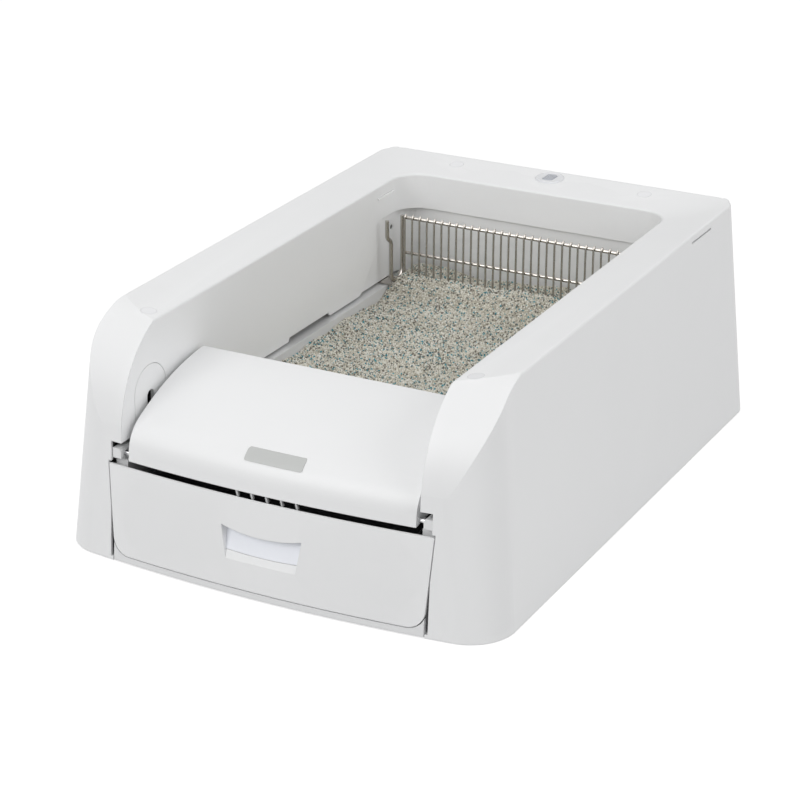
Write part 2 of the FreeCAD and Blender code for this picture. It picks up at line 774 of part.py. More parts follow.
def make_base_chassis():
    floor = plan_form(WALL + SEAM_GAP, FOOT_STAND, FLOOR_TOP)
    strip = make_plinth_strip()
    parts = [floor, strip]
    bay = LUG_INNER - RIB_T - 1.0
    rail = OPEN_HALF + TRAY_FLANGE - RIB_T - 1.0
    y_back = BACK_WALL_Y
    side = [
        block(bay, bay + RIB_T, FRONT + BIN_FRONT, FRONT + TRAY_FRONT + 10.0, FOOT_STAND, DRAWER_TOP - 6.0),
        block(rail, rail + RIB_T, FRONT + TRAY_FRONT, y_back, FOOT_STAND, TRAY_RIM_Z - TRAY_RIM_T),
        block(
            bay,
            LUG_OUTER,
            FRONT + LUG_FRONT + 6.0,
            FRONT + LUG_FRONT + LUG_DEPTH,
            FOOT_STAND,
            PIVOT_Z - LUG_HEAD,
        ),
        block(
            GUIDE_X - 10.0,
            GUIDE_X + 2.0,
            SHAFT_Y - 10.0,
            SHAFT_Y + 10.0,
            FOOT_STAND,
            GUIDE_Z + 11.0,
        ),
        block(
            GUIDE_X + 4.0,
            GUIDE_X + 9.0,
            FRONT + IDLER_Y - 8.0,
            FRONT + IDLER_Y + 8.0,
            FOOT_STAND,
            GUIDE_Z + 8.0,
        ),
    ]
    for x, y in POST_PLACES:
        side.append(rod_z(x, y, FOOT_STAND, POST_Z, POST_RADIUS))
    for shape in side:
        parts.append(shape)
        parts.append(mirrored(shape))
    cross = block(-rail - RIB_T, rail + RIB_T, y_back, y_back + RIB_T, FOOT_STAND, TRAY_RIM_Z - TRAY_RIM_T)
    parts.append(cross)
    sill = block(-bay, bay, FRONT + TRAY_FRONT + 7.0, FRONT + TRAY_FRONT + 10.0, FOOT_STAND, TRAY_FLOOR_Z)
    parts.append(sill)
    seat = block(
        JACK_X - 14.0, JACK_X + 14.0, REAR - 11.0, REAR - 8.0, FOOT_STAND, JACK_Z + JACK_SIZE
    )
    parts.append(seat)
    for x in (BOARD_X + 8.0, BOARD_X + BOARD_LENGTH - 8.0):
        for z in (BOARD_LOW + 6.0, BOARD_HIGH - 6.0):
            parts.append(rod_y(x, y_back + RIB_T, y_back + RIB_T + STANDOFF, z, 3.5))
    chassis = fused(parts)
    tools = []
    for x, y in foot_places():
        tools.append(rod_z(x, y, 0, FLOOR_TOP + 5.0, FOOT_STUD + 0.1))
    for sign in (-1, 1):
        tools.append(rod_x(sign * GUIDE_X - 15.0, sign * GUIDE_X + 15.0, SHAFT_Y, GUIDE_Z, SHAFT_RADIUS + 2.0))
        tools.append(rod_x(sign * GUIDE_X - 15.0, sign * GUIDE_X + 15.0, FRONT + IDLER_Y, GUIDE_Z, AXLE_RADIUS))
    tools.append(
        block(
            JACK_X - JACK_SIZE / 2.0 - FINE_GAP,
            JACK_X + JACK_SIZE / 2.0 + FINE_GAP,
            REAR - 20.0,
            REAR,
            JACK_Z - JACK_SIZE / 2.0 - FINE_GAP,
            JACK_Z + JACK_SIZE / 2.0 + FINE_GAP,
        )
    )
    return chassis.cut(tools).removeSplitter()


def foot_places():
    x = WIDTH / 2.0 - FOOT_INSET_X
    y = REAR - FOOT_INSET_Y
    return [(-x, -y), (x, -y), (-x, y), (x, y)]


def make_rubber_feet():
    feet = []
    for x, y in foot_places():
        pad = Part.makeCone(FOOT_RADIUS - 0.5, FOOT_RADIUS, FOOT_STAND, V(x, y, 0))
        stud = rod_z(x, y, FOOT_STAND, FLOOR_TOP + 1.5, FOOT_STUD)
        feet.append(pad.fuse(stud).removeSplitter())
    return Part.makeCompound(feet)


def tray_mouth():
    """Half width and rear edge of the tray's mouth."""
    return OPEN_HALF - TRAY_MOUTH_GAP, OPEN_REAR - 2.0


def tray_hollow(grow, top):
    """The tray's hollow, with drafted sides and a ramp up to the front lip."""
    half, rear = tray_mouth()
    front = FRONT + TRAY_FRONT + 10.0
    low = TRAY_FLOOR_Z + TRAY_WALL - grow
    depth = top - low

    def ring(z, share):
        draft = TRAY_DRAFT * share
        ramp = TRAY_RAMP * share
        points = [
            V(-half + draft - grow, front + ramp - grow, z),
            V(half - draft + grow, front + ramp - grow, z),
            V(half - draft + grow, rear - draft + grow, z),
            V(-half + draft - grow, rear - draft + grow, z),
        ]
        corner = 12.0 + grow
        return outline(points, [corner] * 4)

    share = depth / (TRAY_RIM_Z - TRAY_FLOOR_Z - TRAY_WALL + grow)
    return Part.makeLoft([ring(low, 1.0), ring(top, 1.0 - share)], True, True)


def make_litter_tray():
    rear = tray_mouth()[1]
    body = tray_hollow(TRAY_WALL, TRAY_RIM_Z)
    out = OPEN_HALF + TRAY_FLANGE
    flange = block(-out, out, FRONT + TRAY_FRONT, rear + LINER_BACK, TRAY_RIM_Z - TRAY_RIM_T, TRAY_RIM_Z)
    return body.fuse(flange).cut(tray_hollow(0.0, TRAY_RIM_Z)).removeSplitter()


def make_litter_bed():
    body = tray_hollow(-RUN_GAP, TRAY_RIM_Z)
    above = side_prism(
        [
            (-LENGTH, LITTER_Z),
            (OPEN_REAR - HEAP_REACH, LITTER_Z),
            (OPEN_REAR - HEAP_BACK, LITTER_REAR_Z),
            (LENGTH, LITTER_REAR_Z),
            (LENGTH, HEIGHT),
            (-LENGTH, HEIGHT),
        ],
        [0, HEAP_ROUND, HEAP_ROUND, 0, 0, 0],
        -WIDTH,
        WIDTH,
    )
    return body.cut(above)


def liner_prism(grow):
    """The room inside the liner, open towards the front."""
    half = OPEN_HALF + LINER_BACK + grow
    rear = OPEN_REAR + LINER_BACK + grow
    front = OPEN_REAR - 2.0 * LINER_FRONT
    points = [(-half, front), (half, front), (half, rear), (-half, rear)]
    corner = LINER_CORNER + grow
    return plan_prism(points, [0, 0, corner, corner], GUIDE_Z - 3.0, LINER_TOP_Z)


def make_rear_liner():
    low = GUIDE_Z - 3.0
    front = OPEN_REAR - LINER_FRONT
    keep = side_prism(
        [
            (front, SKIRT_Z),
            (OPEN_REAR - LINER_CORNER - 4.0, SKIRT_Z),
            (OPEN_REAR + 2.8, TRAY_RIM_Z + RUN_GAP),
            (OPEN_REAR + 2.8, low),
            (REAR, low),
            (REAR, LINER_TOP_Z),
            (front, LINER_TOP_Z),
        ],
        [0] * 7,
        -WIDTH,
        WIDTH,
    )
    liner = liner_prism(LINER_T).cut(liner_prism(0.0)).common(keep)
    hole = rod_x(-OPEN_HALF - 20.0, OPEN_HALF + 20.0, OPEN_REAR - SENSOR_Y, SENSOR_Z, SENSOR_RADIUS)
    return liner.cut(hole)


def make_sensor(sign):
    """One half of the light barrier, plugged into the liner's hole from outside."""
    wall = OPEN_HALF + LINER_BACK
    y = OPEN_REAR - SENSOR_Y
    lens = rod_x(wall + 1.0, wall + LINER_T + 1.5, y, SENSOR_Z, SENSOR_RADIUS - FINE_GAP)
    case = block(wall + LINER_T + 1.0, wall + 9.0, y - 6.0, y + 6.0, SENSOR_Z - 7.0, SENSOR_Z + 7.0)
    shape = lens.fuse(case).removeSplitter()
    return shape if sign > 0 else mirrored(shape)


def make_guide_rod(sign):
    return rod_y(sign * GUIDE_X, FRONT + GUIDE_FRONT, GUIDE_END, GUIDE_Z, GUIDE_RADIUS)


def make_rod_brackets():
    brackets = []
    half = BRACKET_WIDTH / 2.0
    for sign in (-1, 1):
        x = sign * GUIDE_X
        for y0 in (FRONT + GUIDE_FRONT, GUIDE_END - BRACKET_LENGTH):
            body = block(
                x - half, x + half, y0, y0 + BRACKET_LENGTH, FLOOR_TOP, GUIDE_Z + GUIDE_RADIUS + 4.0
            )
            hole = rod_y(x, y0 - 1.0, y0 + BRACKET_LENGTH + 1.0, GUIDE_Z, GUIDE_RADIUS + FINE_GAP)
            brackets.append(body.cut(hole))
    return Part.makeCompound(brackets)


def belt_loop(outer_radius, x0, x1):
    """A flat loop round the idler and the driven pulley."""
    front = FRONT + IDLER_Y
    points = [
        (front - outer_radius, GUIDE_Z - outer_radius),
        (SHAFT_Y + outer_radius, GUIDE_Z - outer_radius),
        (SHAFT_Y + outer_radius, GUIDE_Z + outer_radius),
        (front - outer_radius, GUIDE_Z + outer_radius),
    ]
    return side_prism(points, [outer_radius - 1e-4] * 4, x0, x1)


def make_belt(sign):
    outer = PULLEY_PITCH + BELT_T / 2.0
    inner = PULLEY_PITCH - BELT_T / 2.0
    x0 = BELT_X - BELT_WIDTH / 2.0
    x1 = BELT_X + BELT_WIDTH / 2.0
    loop = belt_loop(outer, x0, x1).cut(belt_loop(inner, x0 - 1.0, x1 + 1.0))
    return loop if sign > 0 else mirrored(loop)


def pulley_at(y, bore):
    """A flanged pulley on the right belt's line."""
    half = BELT_WIDTH / 2.0 + RUN_GAP
    core = rod_x(BELT_X - half, BELT_X + half, y, GUIDE_Z, PULLEY_RADIUS)
    flange = PULLEY_PITCH + BELT_T / 2.0 + FLANGE_RISE
    inner = rod_x(BELT_X - half - FLANGE_T, BELT_X - half, y, GUIDE_Z, flange)
    outer = rod_x(BELT_X + half, BELT_X + half + FLANGE_T, y, GUIDE_Z, flange)
    hole = rod_x(BELT_X - 20.0, BELT_X + 20.0, y, GUIDE_Z, bore)
    return fused([core, inner, outer]).cut(hole)


def make_pulley(sign):
    shape = pulley_at(SHAFT_Y, SHAFT_RADIUS + 0.02)
    return shape if sign > 0 else mirrored(shape)


def make_idler(sign):
    shape = pulley_at(FRONT + IDLER_Y, AXLE_RADIUS + FINE_GAP)
    return shape if sign > 0 else mirrored(shape)


def make_idler_axles():
    y = FRONT + IDLER_Y
    pin = rod_x(GUIDE_X + 4.0, BELT_X + 8.0, y, GUIDE_Z, AXLE_RADIUS)
    cap = rod_x(BELT_X + 6.5, BELT_X + 8.0, y, GUIDE_Z, AXLE_RADIUS + 1.5)
    return pair(pin.fuse(cap).removeSplitter())


def make_drive_shaft():
    return rod_x(-BELT_X - 7.0, BELT_X + 7.0, SHAFT_Y, GUIDE_Z, SHAFT_RADIUS)


def make_shaft_bushes():
    ring = rod_x(GUIDE_X - 10.0, GUIDE_X + 2.0, SHAFT_Y, GUIDE_Z, SHAFT_RADIUS + 2.0 - FINE_GAP)
    hole = rod_x(GUIDE_X - 20.0, GUIDE_X + 20.0, SHAFT_Y, GUIDE_Z, SHAFT_RADIUS + FINE_GAP)
    return pair(ring.cut(hole))


def involute_point(base, roll, turn, sign):
    """A point on an involute that starts at an angle on the base circle."""
    x = base * (math.cos(roll) + roll * math.sin(roll))
    y = base * (math.sin(roll) - roll * math.cos(roll))
    c = math.cos(turn)
    s = math.sin(turn)
    return x * c - sign * y * s, x * s + sign * y * c


def gear_face(teeth, y0, z0, x0, phase):
    """A spur gear's outline as a face, square to the X axis."""
    pitch = MODULE * teeth / 2.0
    alpha = math.radians(PRESSURE_ANGLE)
    base = pitch * math.cos(alpha)
    tip = pitch + ADDENDUM * MODULE
    root = pitch - DEDENDUM * MODULE
    spread = math.tan(alpha) - alpha
    half = math.pi / (2.0 * teeth) - BACKLASH / (4.0 * pitch) + spread
    tip_roll = math.sqrt((tip / base) ** 2 - 1.0)
    low_roll = math.sqrt(max((root + 0.2) ** 2 / base ** 2 - 1.0, 0.0))

    def place(p):
        return V(x0, y0 + p[0], z0 + p[1])

    def polar(radius, angle):
        return radius * math.cos(angle), radius * math.sin(angle)

    edges = []
    step = 2.0 * math.pi / teeth
    for i in range(teeth):
        centre = phase + i * step
        rising = [
            involute_point(base, low_roll + (tip_roll - low_roll) * k / 4.0, centre - half, 1)
            for k in range(5)
        ]
        falling = [
            involute_point(base, tip_roll - (tip_roll - low_roll) * k / 4.0, centre + half, -1)
            for k in range(5)
        ]
        first = [place(p) for p in rising]
        second = [place(p) for p in falling]
        first_angle = math.atan2(rising[0][1], rising[0][0])
        last_angle = math.atan2(falling[-1][1], falling[-1][0])
        next_angle = centre + step - (centre - first_angle)
        foot_in = place(polar(root, first_angle))
        foot_out = place(polar(root, last_angle))
        foot_next = place(polar(root, next_angle))
        foot_middle = place(polar(root, centre + step / 2.0))
        rise = Part.BSplineCurve()
        rise.interpolate(first)
        fall = Part.BSplineCurve()
        fall.interpolate(second)
        edges.append(Part.LineSegment(foot_in, first[0]).toShape())
        edges.append(rise.toShape())
        edges.append(Part.Arc(first[-1], place(polar(tip, centre)), second[0]).toShape())
        edges.append(fall.toShape())
        edges.append(Part.LineSegment(second[-1], foot_out).toShape())
        edges.append(Part.Arc(foot_out, foot_middle, foot_next).toShape())
    return Part.Face(Part.Wire(edges))


def make_driven_gear():
    face = gear_face(GEAR_TEETH, SHAFT_Y, GUIDE_Z, GEAR_X, math.pi / 2.0)
    gear = face.extrude(V(GEAR_WIDTH, 0, 0))
    hub = rod_x(GEAR_X, GEAR_X + GEAR_WIDTH + 6.0, SHAFT_Y, GUIDE_Z, SHAFT_RADIUS + 4.0)
    hole = rod_x(GEAR_X - 5.0, GEAR_X + 30.0, SHAFT_Y, GUIDE_Z, SHAFT_RADIUS + 0.02)
    return gear.fuse(hub).cut(hole)


def make_motor_pinion():
    z = GUIDE_Z + GEAR_DISTANCE
    phase = -math.pi / 2.0 + math.pi / PINION_TEETH
    face = gear_face(PINION_TEETH, SHAFT_Y, z, GEAR_X - 0.5, phase)
    pinion = face.extrude(V(GEAR_WIDTH + 1.0, 0, 0))
    stub = rod_x(GEAR_X - PLATE_T - 6.0, GEAR_X, SHAFT_Y, z, MOTOR_SHAFT)
    return pinion.fuse(stub).removeSplitter()


def make_gear_motor():
    z = GUIDE_Z + GEAR_DISTANCE
    face_x = GEAR_X - PLATE_T - 1.5
    body = rod_x(face_x - MOTOR_LENGTH, face_x, SHAFT_Y, z, MOTOR_RADIUS)
    boss = rod_x(face_x - MOTOR_LENGTH - 3.0, face_x - MOTOR_LENGTH, SHAFT_Y, z, 6.0)
    hole = rod_x(face_x - 10.0, face_x + 1.0, SHAFT_Y, z, MOTOR_SHAFT + 0.1)
    return body.fuse(boss).cut(hole)


def make_motor_bracket():
    z = GUIDE_Z + GEAR_DISTANCE
    x0 = GEAR_X - PLATE_T - 1.5
    plate = block(x0, x0 + PLATE_T, SHAFT_Y - 17.0, SHAFT_Y + 17.0, FLOOR_TOP, z + 16.0)
    foot = block(x0 - 20.0, x0, SHAFT_Y - 17.0, SHAFT_Y + 17.0, FLOOR_TOP, FLOOR_TOP + PLATE_T)
    shaft_hole = rod_x(x0 - 1.0, x0 + 5.0, SHAFT_Y, GUIDE_Z, SHAFT_RADIUS + 2.0)
    motor_hole = rod_x(x0 - 1.0, x0 + 5.0, SHAFT_Y, z, 4.0)
    return plate.fuse(foot).cut([shaft_hole, motor_hole]).removeSplitter()


def make_main_board():
    y0 = BACK_WALL_Y + RIB_T + STANDOFF
    board = block(BOARD_X, BOARD_X + BOARD_LENGTH, y0, y0 + BOARD_T, BOARD_LOW, BOARD_HIGH)
    parts = [board]
    chips = [
        (14.0, 10.0, 12.0, 5.0),
        (40.0, 26.0, 14.0, 3.0),
        (70.0, 12.0, 9.0, 11.0),
        (90.0, 30.0, 16.0, 8.0),
    ]
    for along, width, tall, deep in chips:
        x = BOARD_X + along
        z = (BOARD_LOW + BOARD_HIGH) / 2.0 - tall / 2.0
        parts.append(block(x, x + min(width, 20.0), y0 + BOARD_T, y0 + BOARD_T + deep, z, z + tall))
    return fused(parts)


def make_board_screws():
    y0 = BACK_WALL_Y + RIB_T + STANDOFF + BOARD_T
    screws = []
    for x in (BOARD_X + 8.0, BOARD_X + BOARD_LENGTH - 8.0):
        for z in (BOARD_LOW + 6.0, BOARD_HIGH - 6.0):
            screws.append(rod_y(x, y0, y0 + 2.0, z, 3.0))
    return Part.makeCompound(screws)


def make_power_jack():
    half = JACK_SIZE / 2.0
    y1 = REAR - 1.2
    body = block(JACK_X - half, JACK_X + half, REAR - 20.0, y1, JACK_Z - half, JACK_Z + half)
    bore = rod_y(JACK_X, y1 - 12.0, y1 + 1.0, JACK_Z, JACK_BORE)
    pin = rod_y(JACK_X, y1 - 12.0, y1 - 2.0, JACK_Z, 1.0)
    return body.cut(bore).fuse(pin).removeSplitter()


def make_travel_switches():
    low = FLOOR_TOP
    high = GUIDE_Z - 16.0
    switches = []
    for y in (FRONT + GUIDE_FRONT + 30.0, GUIDE_END - 45.0):
        body = block(GUIDE_X - 4.0, GUIDE_X + 4.0, y, y + 20.0, low, high)
        lever = block(GUIDE_X - 1.5, GUIDE_X + 1.5, y + 4.0, y + 12.0, high, high + 3.0)
        switches.append(body.fuse(lever).removeSplitter())
    return Part.makeCompound(switches)


def make_lid_lug(sign):
    y0 = FRONT + LUG_FRONT
    top = PIVOT_Z + LUG_HEAD
    body = block(LUG_INNER, LUG_OUTER, y0, y0 + LUG_DEPTH, PIVOT_Z - LUG_HEAD + 3.0, top)
    inner_top = [
        e
        for e in body.Edges
        if abs(e.BoundBox.XMax - LUG_INNER) < 0.01 and abs(e.BoundBox.ZMin - top) < 0.01
    ]
    body = body.makeFillet(4.0, inner_top)
    stem = block(
        LUG_INNER, LUG_OUTER, y0 + 6.0, y0 + LUG_DEPTH, PIVOT_Z - LUG_HEAD, PIVOT_Z - LUG_HEAD + 3.0
    )
    hole = rod_x(LUG_INNER - 1.0, LUG_OUTER + 1.0, FRONT + PIVOT_Y, PIVOT_Z, PIN_RADIUS + BEARING_GAP)
    shape = body.fuse(stem).cut(hole).removeSplitter()
    return shape if sign > 0 else mirrored(shape)


def make_drawer_runners():
    y0 = FRONT + BIN_FRONT
    y1 = FRONT + TRAY_FRONT
    top = DRAWER_BOTTOM + 0.5 - RUN_GAP
    return pair(block(RUNNER_X, RUNNER_X + RUNNER_WIDTH, y0, y1, FLOOR_TOP, top))


def lid_foot(x, inset):
    """Y where the lid's leaning front face would meet the floor."""
    bow = BOW_RADIUS - math.sqrt(BOW_RADIUS ** 2 - x ** 2)
    return FRONT - FRONT_BOW + LID_SETBACK + bow + inset * math.sqrt(1.0 + LID_LEAN ** 2)


def lid_section(x, inset):
    """The lid's outline at a station across it, moved in by an inset."""
    foot = lid_foot(x, inset)
    crease = LID_CREASE - inset
    length = math.sqrt(1.0 + LID_LEAN ** 2)
    normal = V(0, 1.0 / length, -LID_LEAN / length)
    slope = math.radians(LID_REAR_SLOPE)
    outward = V(0, -math.sin(slope), math.cos(slope))
    rear = V(0, FRONT + LID_DEPTH, LID_REAR_Z) - outward * inset
    # The crease circle touches the front line where the top circle, which starts at the rear edge
    # with the rear slope, touches it too: the crease's height is fixed by its own radius.
    centre_z = PIVOT_Z + 2.0
    centre_y = foot + LID_LEAN * centre_z + crease * length
    centre = V(0, centre_y, centre_z)
    between = centre - rear
    big = (crease ** 2 - between.dot(between)) / (2.0 * (between.dot(outward) + crease))
    big_centre = rear - outward * big
    toward = (centre - big_centre).normalize()
    join = big_centre + toward * big
    touch = centre - normal * crease
    mid_small = centre + ((join - centre).normalize() - normal).normalize() * crease
    mid_big = big_centre + (toward + outward).normalize() * big
    low = LID_LIP_Z if inset <= 0 else LID_LIP_Z - 2.0 * LID_WALL
    flap = LID_FLAP_Z if inset <= 0 else LID_FLAP_Z - 2.0 * LID_WALL
    lip = V(0, foot + LID_LEAN * low, low)
    rear_low = V(0, rear.y - inset, flap)
    rear_top = V(0, rear.y - inset, rear.z)
    if inset > 0:
        drop = rear - V(0, inset, inset * math.tan(slope))
        rear_top = V(0, drop.y, big_centre.z + math.sqrt(big ** 2 - (drop.y - big_centre.y) ** 2))
        mid_big = big_centre + (toward + (rear_top - big_centre).normalize()).normalize() * big
    edges = [
        Part.LineSegment(lip, touch).toShape(),
        Part.Arc(touch, mid_small, join).toShape(),
        Part.Arc(join, mid_big, rear_top).toShape(),
        Part.LineSegment(rear_top, rear_low).toShape(),
        Part.LineSegment(rear_low, lip).toShape(),
    ]
    wire = Part.Wire(edges)
    wire.translate(V(x, 0, 0))
    return wire


def lid_form(inset, half):
    stations = (-half, -half / 2.0, 0.0, half / 2.0, half)
    return Part.makeLoft([lid_section(x, inset) for x in stations], True, False)


def make_step_lid():
    shell = lid_form(0.0, LID_HALF).cut(lid_form(LID_WALL, LID_HALF - LID_WALL))
    hole = rod_x(-WIDTH, WIDTH, FRONT + PIVOT_Y, PIVOT_Z, PIN_RADIUS + 0.02)
    boss = rod_x(LID_HALF - LID_WALL - 5.0, LID_HALF - LID_WALL, FRONT + PIVOT_Y, PIVOT_Z, PIN_RADIUS + 2.5)
    return shell.fuse([boss, mirrored(boss)]).cut(hole).removeSplitter()


def make_lid_badge():
    outer = lid_form(-BADGE_T, LID_HALF)
    inner = lid_form(-FINE_GAP, LID_HALF)
    points = [
        (BADGE_X - BADGE_HALF, BADGE_LOW),
        (BADGE_X + BADGE_HALF, BADGE_LOW),
        (BADGE_X + BADGE_HALF, BADGE_HIGH),
        (BADGE_X - BADGE_HALF, BADGE_HIGH),
    ]
    window = front_prism(points, [BADGE_CORNER] * 4, -LENGTH, FRONT + 60.0)
    return window.common(outer).cut(inner)


def make_lid_ribs():
    """Five slanted ribs behind the lid's lip that hang down past the drawer's top edge."""
    low = DRAWER_TOP - RIB_HANG
    high = LID_LIP_Z + RIB_GRIP
    half = RIB_WIDTH / 2.0
    ribs = []
    for i in range(RIB_COUNT):
        x = (i - (RIB_COUNT - 1) / 2.0) * RIB_PITCH
        y = lid_foot(x, LID_WALL) + LID_LEAN * LID_LIP_Z + RUN_GAP
        back = y + RIB_GRIP * LID_LEAN
        side = [(y, low), (y + RIB_DEPTH, low), (back + RIB_DEPTH, high), (back, high), (y, LID_LIP_Z)]
        plate = side_prism(side, [0] * 5, x - RIB_PITCH, x + RIB_PITCH)
        front = [
            (x + RIB_LEAN - half, low),
            (x + RIB_LEAN + half, low),
            (x - RIB_LEAN + half, high),
            (x - RIB_LEAN - half, high),
        ]
        ribs.append(plate.common(front_prism(front, [0] * 4, -LENGTH, LENGTH)))
    return Part.makeCompound(ribs)


def make_lid_hinge_pins():
    x0 = LID_HALF - LID_WALL - 5.0
    pin = rod_x(x0, LUG_OUTER - 1.0, FRONT + PIVOT_Y, PIVOT_Z, PIN_RADIUS)
    return pair(pin)


def front_skin(y1):
    """The housing's front face as a skin one wall thick."""
    skin = plan_form(0.0, FOOT_STAND, DRAWER_TOP + WALL).cut(plan_form(WALL, -WALL, HEIGHT))
    return skin.common(block(-WIDTH, WIDTH, -LENGTH, y1, 0, HEIGHT))


def grip_prism(grow, y0, y1):
    """The grip's outline, with its top edge hanging down in the middle."""
    low_left = V(-GRIP_LOW_HALF - grow, y0, GRIP_LOW_Z - grow)
    low_right = V(GRIP_LOW_HALF + grow, y0, GRIP_LOW_Z - grow)
    top_right = V(GRIP_TOP_HALF + grow, y0, GRIP_TOP_Z + grow)
    top_left = V(-GRIP_TOP_HALF - grow, y0, GRIP_TOP_Z + grow)
    middle = V(0, y0, GRIP_TOP_Z - GRIP_SAG + grow)
    edges = [
        Part.LineSegment(low_left, low_right).toShape(),
        Part.LineSegment(low_right, top_right).toShape(),
        Part.Arc(top_right, middle, top_left).toShape(),
        Part.LineSegment(top_left, low_left).toShape(),
    ]
    return Part.Face(Part.Wire(edges)).extrude(V(0, y1 - y0, 0))


def grip_hollow():
    """The hand's room: it slopes from the lower edge in to its full depth at the top."""
    front = front_line(GRIP_LOW_Z)
    wedge = side_prism(
        [
            (front - 20.0, GRIP_LOW_Z - 5.0),
            (front + 0.4, GRIP_LOW_Z),
            (front + GRIP_DEPTH, GRIP_TOP_Z - GRIP_EAVE),
            (front + GRIP_DEPTH, GRIP_TOP_Z + 5.0),
            (front - 20.0, GRIP_TOP_Z + 5.0),
        ],
        [0, 0, GRIP_ROUND, 0, 0],
        -WIDTH,
        WIDTH,
    )
    return grip_prism(0.0, front - 20.0, front + 2.0 * GRIP_DEPTH).common(wedge)


def make_drawer_front():
    panel = front_skin(FRONT + 60.0).common(
        front_prism(drawer_outline(0.0), [DRAWER_CORNER, DRAWER_CORNER, 0, 0], -LENGTH, FRONT + 60.0)
    )
    panel = panel.cut(grip_hollow())
    low = DRAWER_BOTTOM + 0.5
    sled = block(
        -BIN_HALF - 2.0, BIN_HALF + 2.0, FRONT - FRONT_BOW, FRONT + BIN_REAR, low, low + SLED_T
    ).common(plan_form(WALL / 2.0, 0, HEIGHT))
    front = front_line(GRIP_LOW_Z)
    collar = grip_prism(GRIP_WALL, front, front + GRIP_COLLAR)
    collar = collar.cut(grip_prism(0.0, front - WALL, FRONT + WALL * 10.0))
    parts = [panel, sled, collar.common(plan_form(WALL / 2.0, 0, HEIGHT))]
    for sign in (-1, 1):
        x = sign * (BIN_HALF - 20.0)
        rib = block(x - 1.5, x + 1.5, FRONT - FRONT_BOW, FRONT + BIN_FRONT - 1.0, low, BIN_RIM_Z)
        parts.append(rib.common(plan_form(WALL / 2.0, 0, HEIGHT)))
    return fused(parts)


def make_grip_pocket():
    front = front_line(GRIP_LOW_Z)
    seat = front + GRIP_COLLAR + FINE_GAP
    back = front + GRIP_DEPTH + GRIP_WALL
    body = grip_prism(-FINE_GAP, front, seat).fuse(grip_prism(GRIP_WALL, seat, back))
    body = body.common(plan_form(WALL, 0, HEIGHT))
    room = side_prism(
        [
            (front + GRIP_WALL * 2.0, GRIP_LOW_Z),
            (back + 1.0, GRIP_LOW_Z),
            (back + 1.0, GRIP_TOP_Z - GRIP_EAVE - GRIP_WALL),
        ],
        [0] * 3,
        GRIP_WALL - GRIP_LOW_HALF,
        GRIP_LOW_HALF - GRIP_WALL,
    )
    return body.cut([grip_hollow(), room])


def make_waste_bin():
    y0 = FRONT + BIN_FRONT
    y1 = FRONT + BIN_REAR
    low = DRAWER_BOTTOM + 0.5 + SLED_T

    def ring(z, half, front, rear, corner):
        points = [V(-half, front, z), V(half, front, z), V(half, rear, z), V(-half, rear, z)]
        return outline(points, [corner] * 4)

    def tub(grow, low_z, high_z):
        base = ring(low_z, BIN_HALF - BIN_DRAFT + grow, y0 + BIN_DRAFT - grow, y1 - BIN_DRAFT + grow, 12.0 + grow)
        top = ring(high_z, BIN_HALF + grow, y0 - grow, y1 + grow, 12.0 + grow)
        return Part.makeLoft([base, top], True, True)

    wide = tub(0.0, low, BIN_RIM_Z)
    hollow = tub(-BIN_WALL, low + BIN_WALL, BIN_RIM_Z)
    return wide.cut(hollow)


def make_rake_rods():
    rods = []
    for z in (ROD_MIDDLE_Z, ROD_TOP_Z):
        half = RAKE_HALF - LOOP_RADIUS
        rods.append(rod_x(-half, half, RAKE_AT, z, RAKE_ROD_RADIUS))
    return Part.makeCompound(rods)


def tine_places():
    pitch = 2.0 * (RAKE_HALF - LOOP_RADIUS - 2.5) / (TINE_COUNT - 1)
    return [(i - (TINE_COUNT - 1) / 2.0) * pitch for i in range(TINE_COUNT)]


def make_tine(x):
    """One tine: up in front of the rods and bent over the top one."""
    reach = RAKE_ROD_RADIUS + TINE_RADIUS + 0.02
    foot = V(x, RAKE_AT - reach, TINE_LOW_Z)
    bend = V(x, RAKE_AT - reach, ROD_TOP_Z)
    middle = V(x, RAKE_AT - reach * math.sqrt(0.5), ROD_TOP_Z + reach * math.sqrt(0.5))
    end = V(x, RAKE_AT, ROD_TOP_Z + reach)
    path = Part.Wire([Part.LineSegment(foot, bend).toShape(), Part.Arc(bend, middle, end).toShape()])
    ring = Part.Wire([Part.Circle(foot, UP, TINE_RADIUS).toShape()])
    return path.makePipeShell([ring], True, True)


def make_rake_tines():
    return Part.makeCompound([make_tine(x) for x in tine_places()])


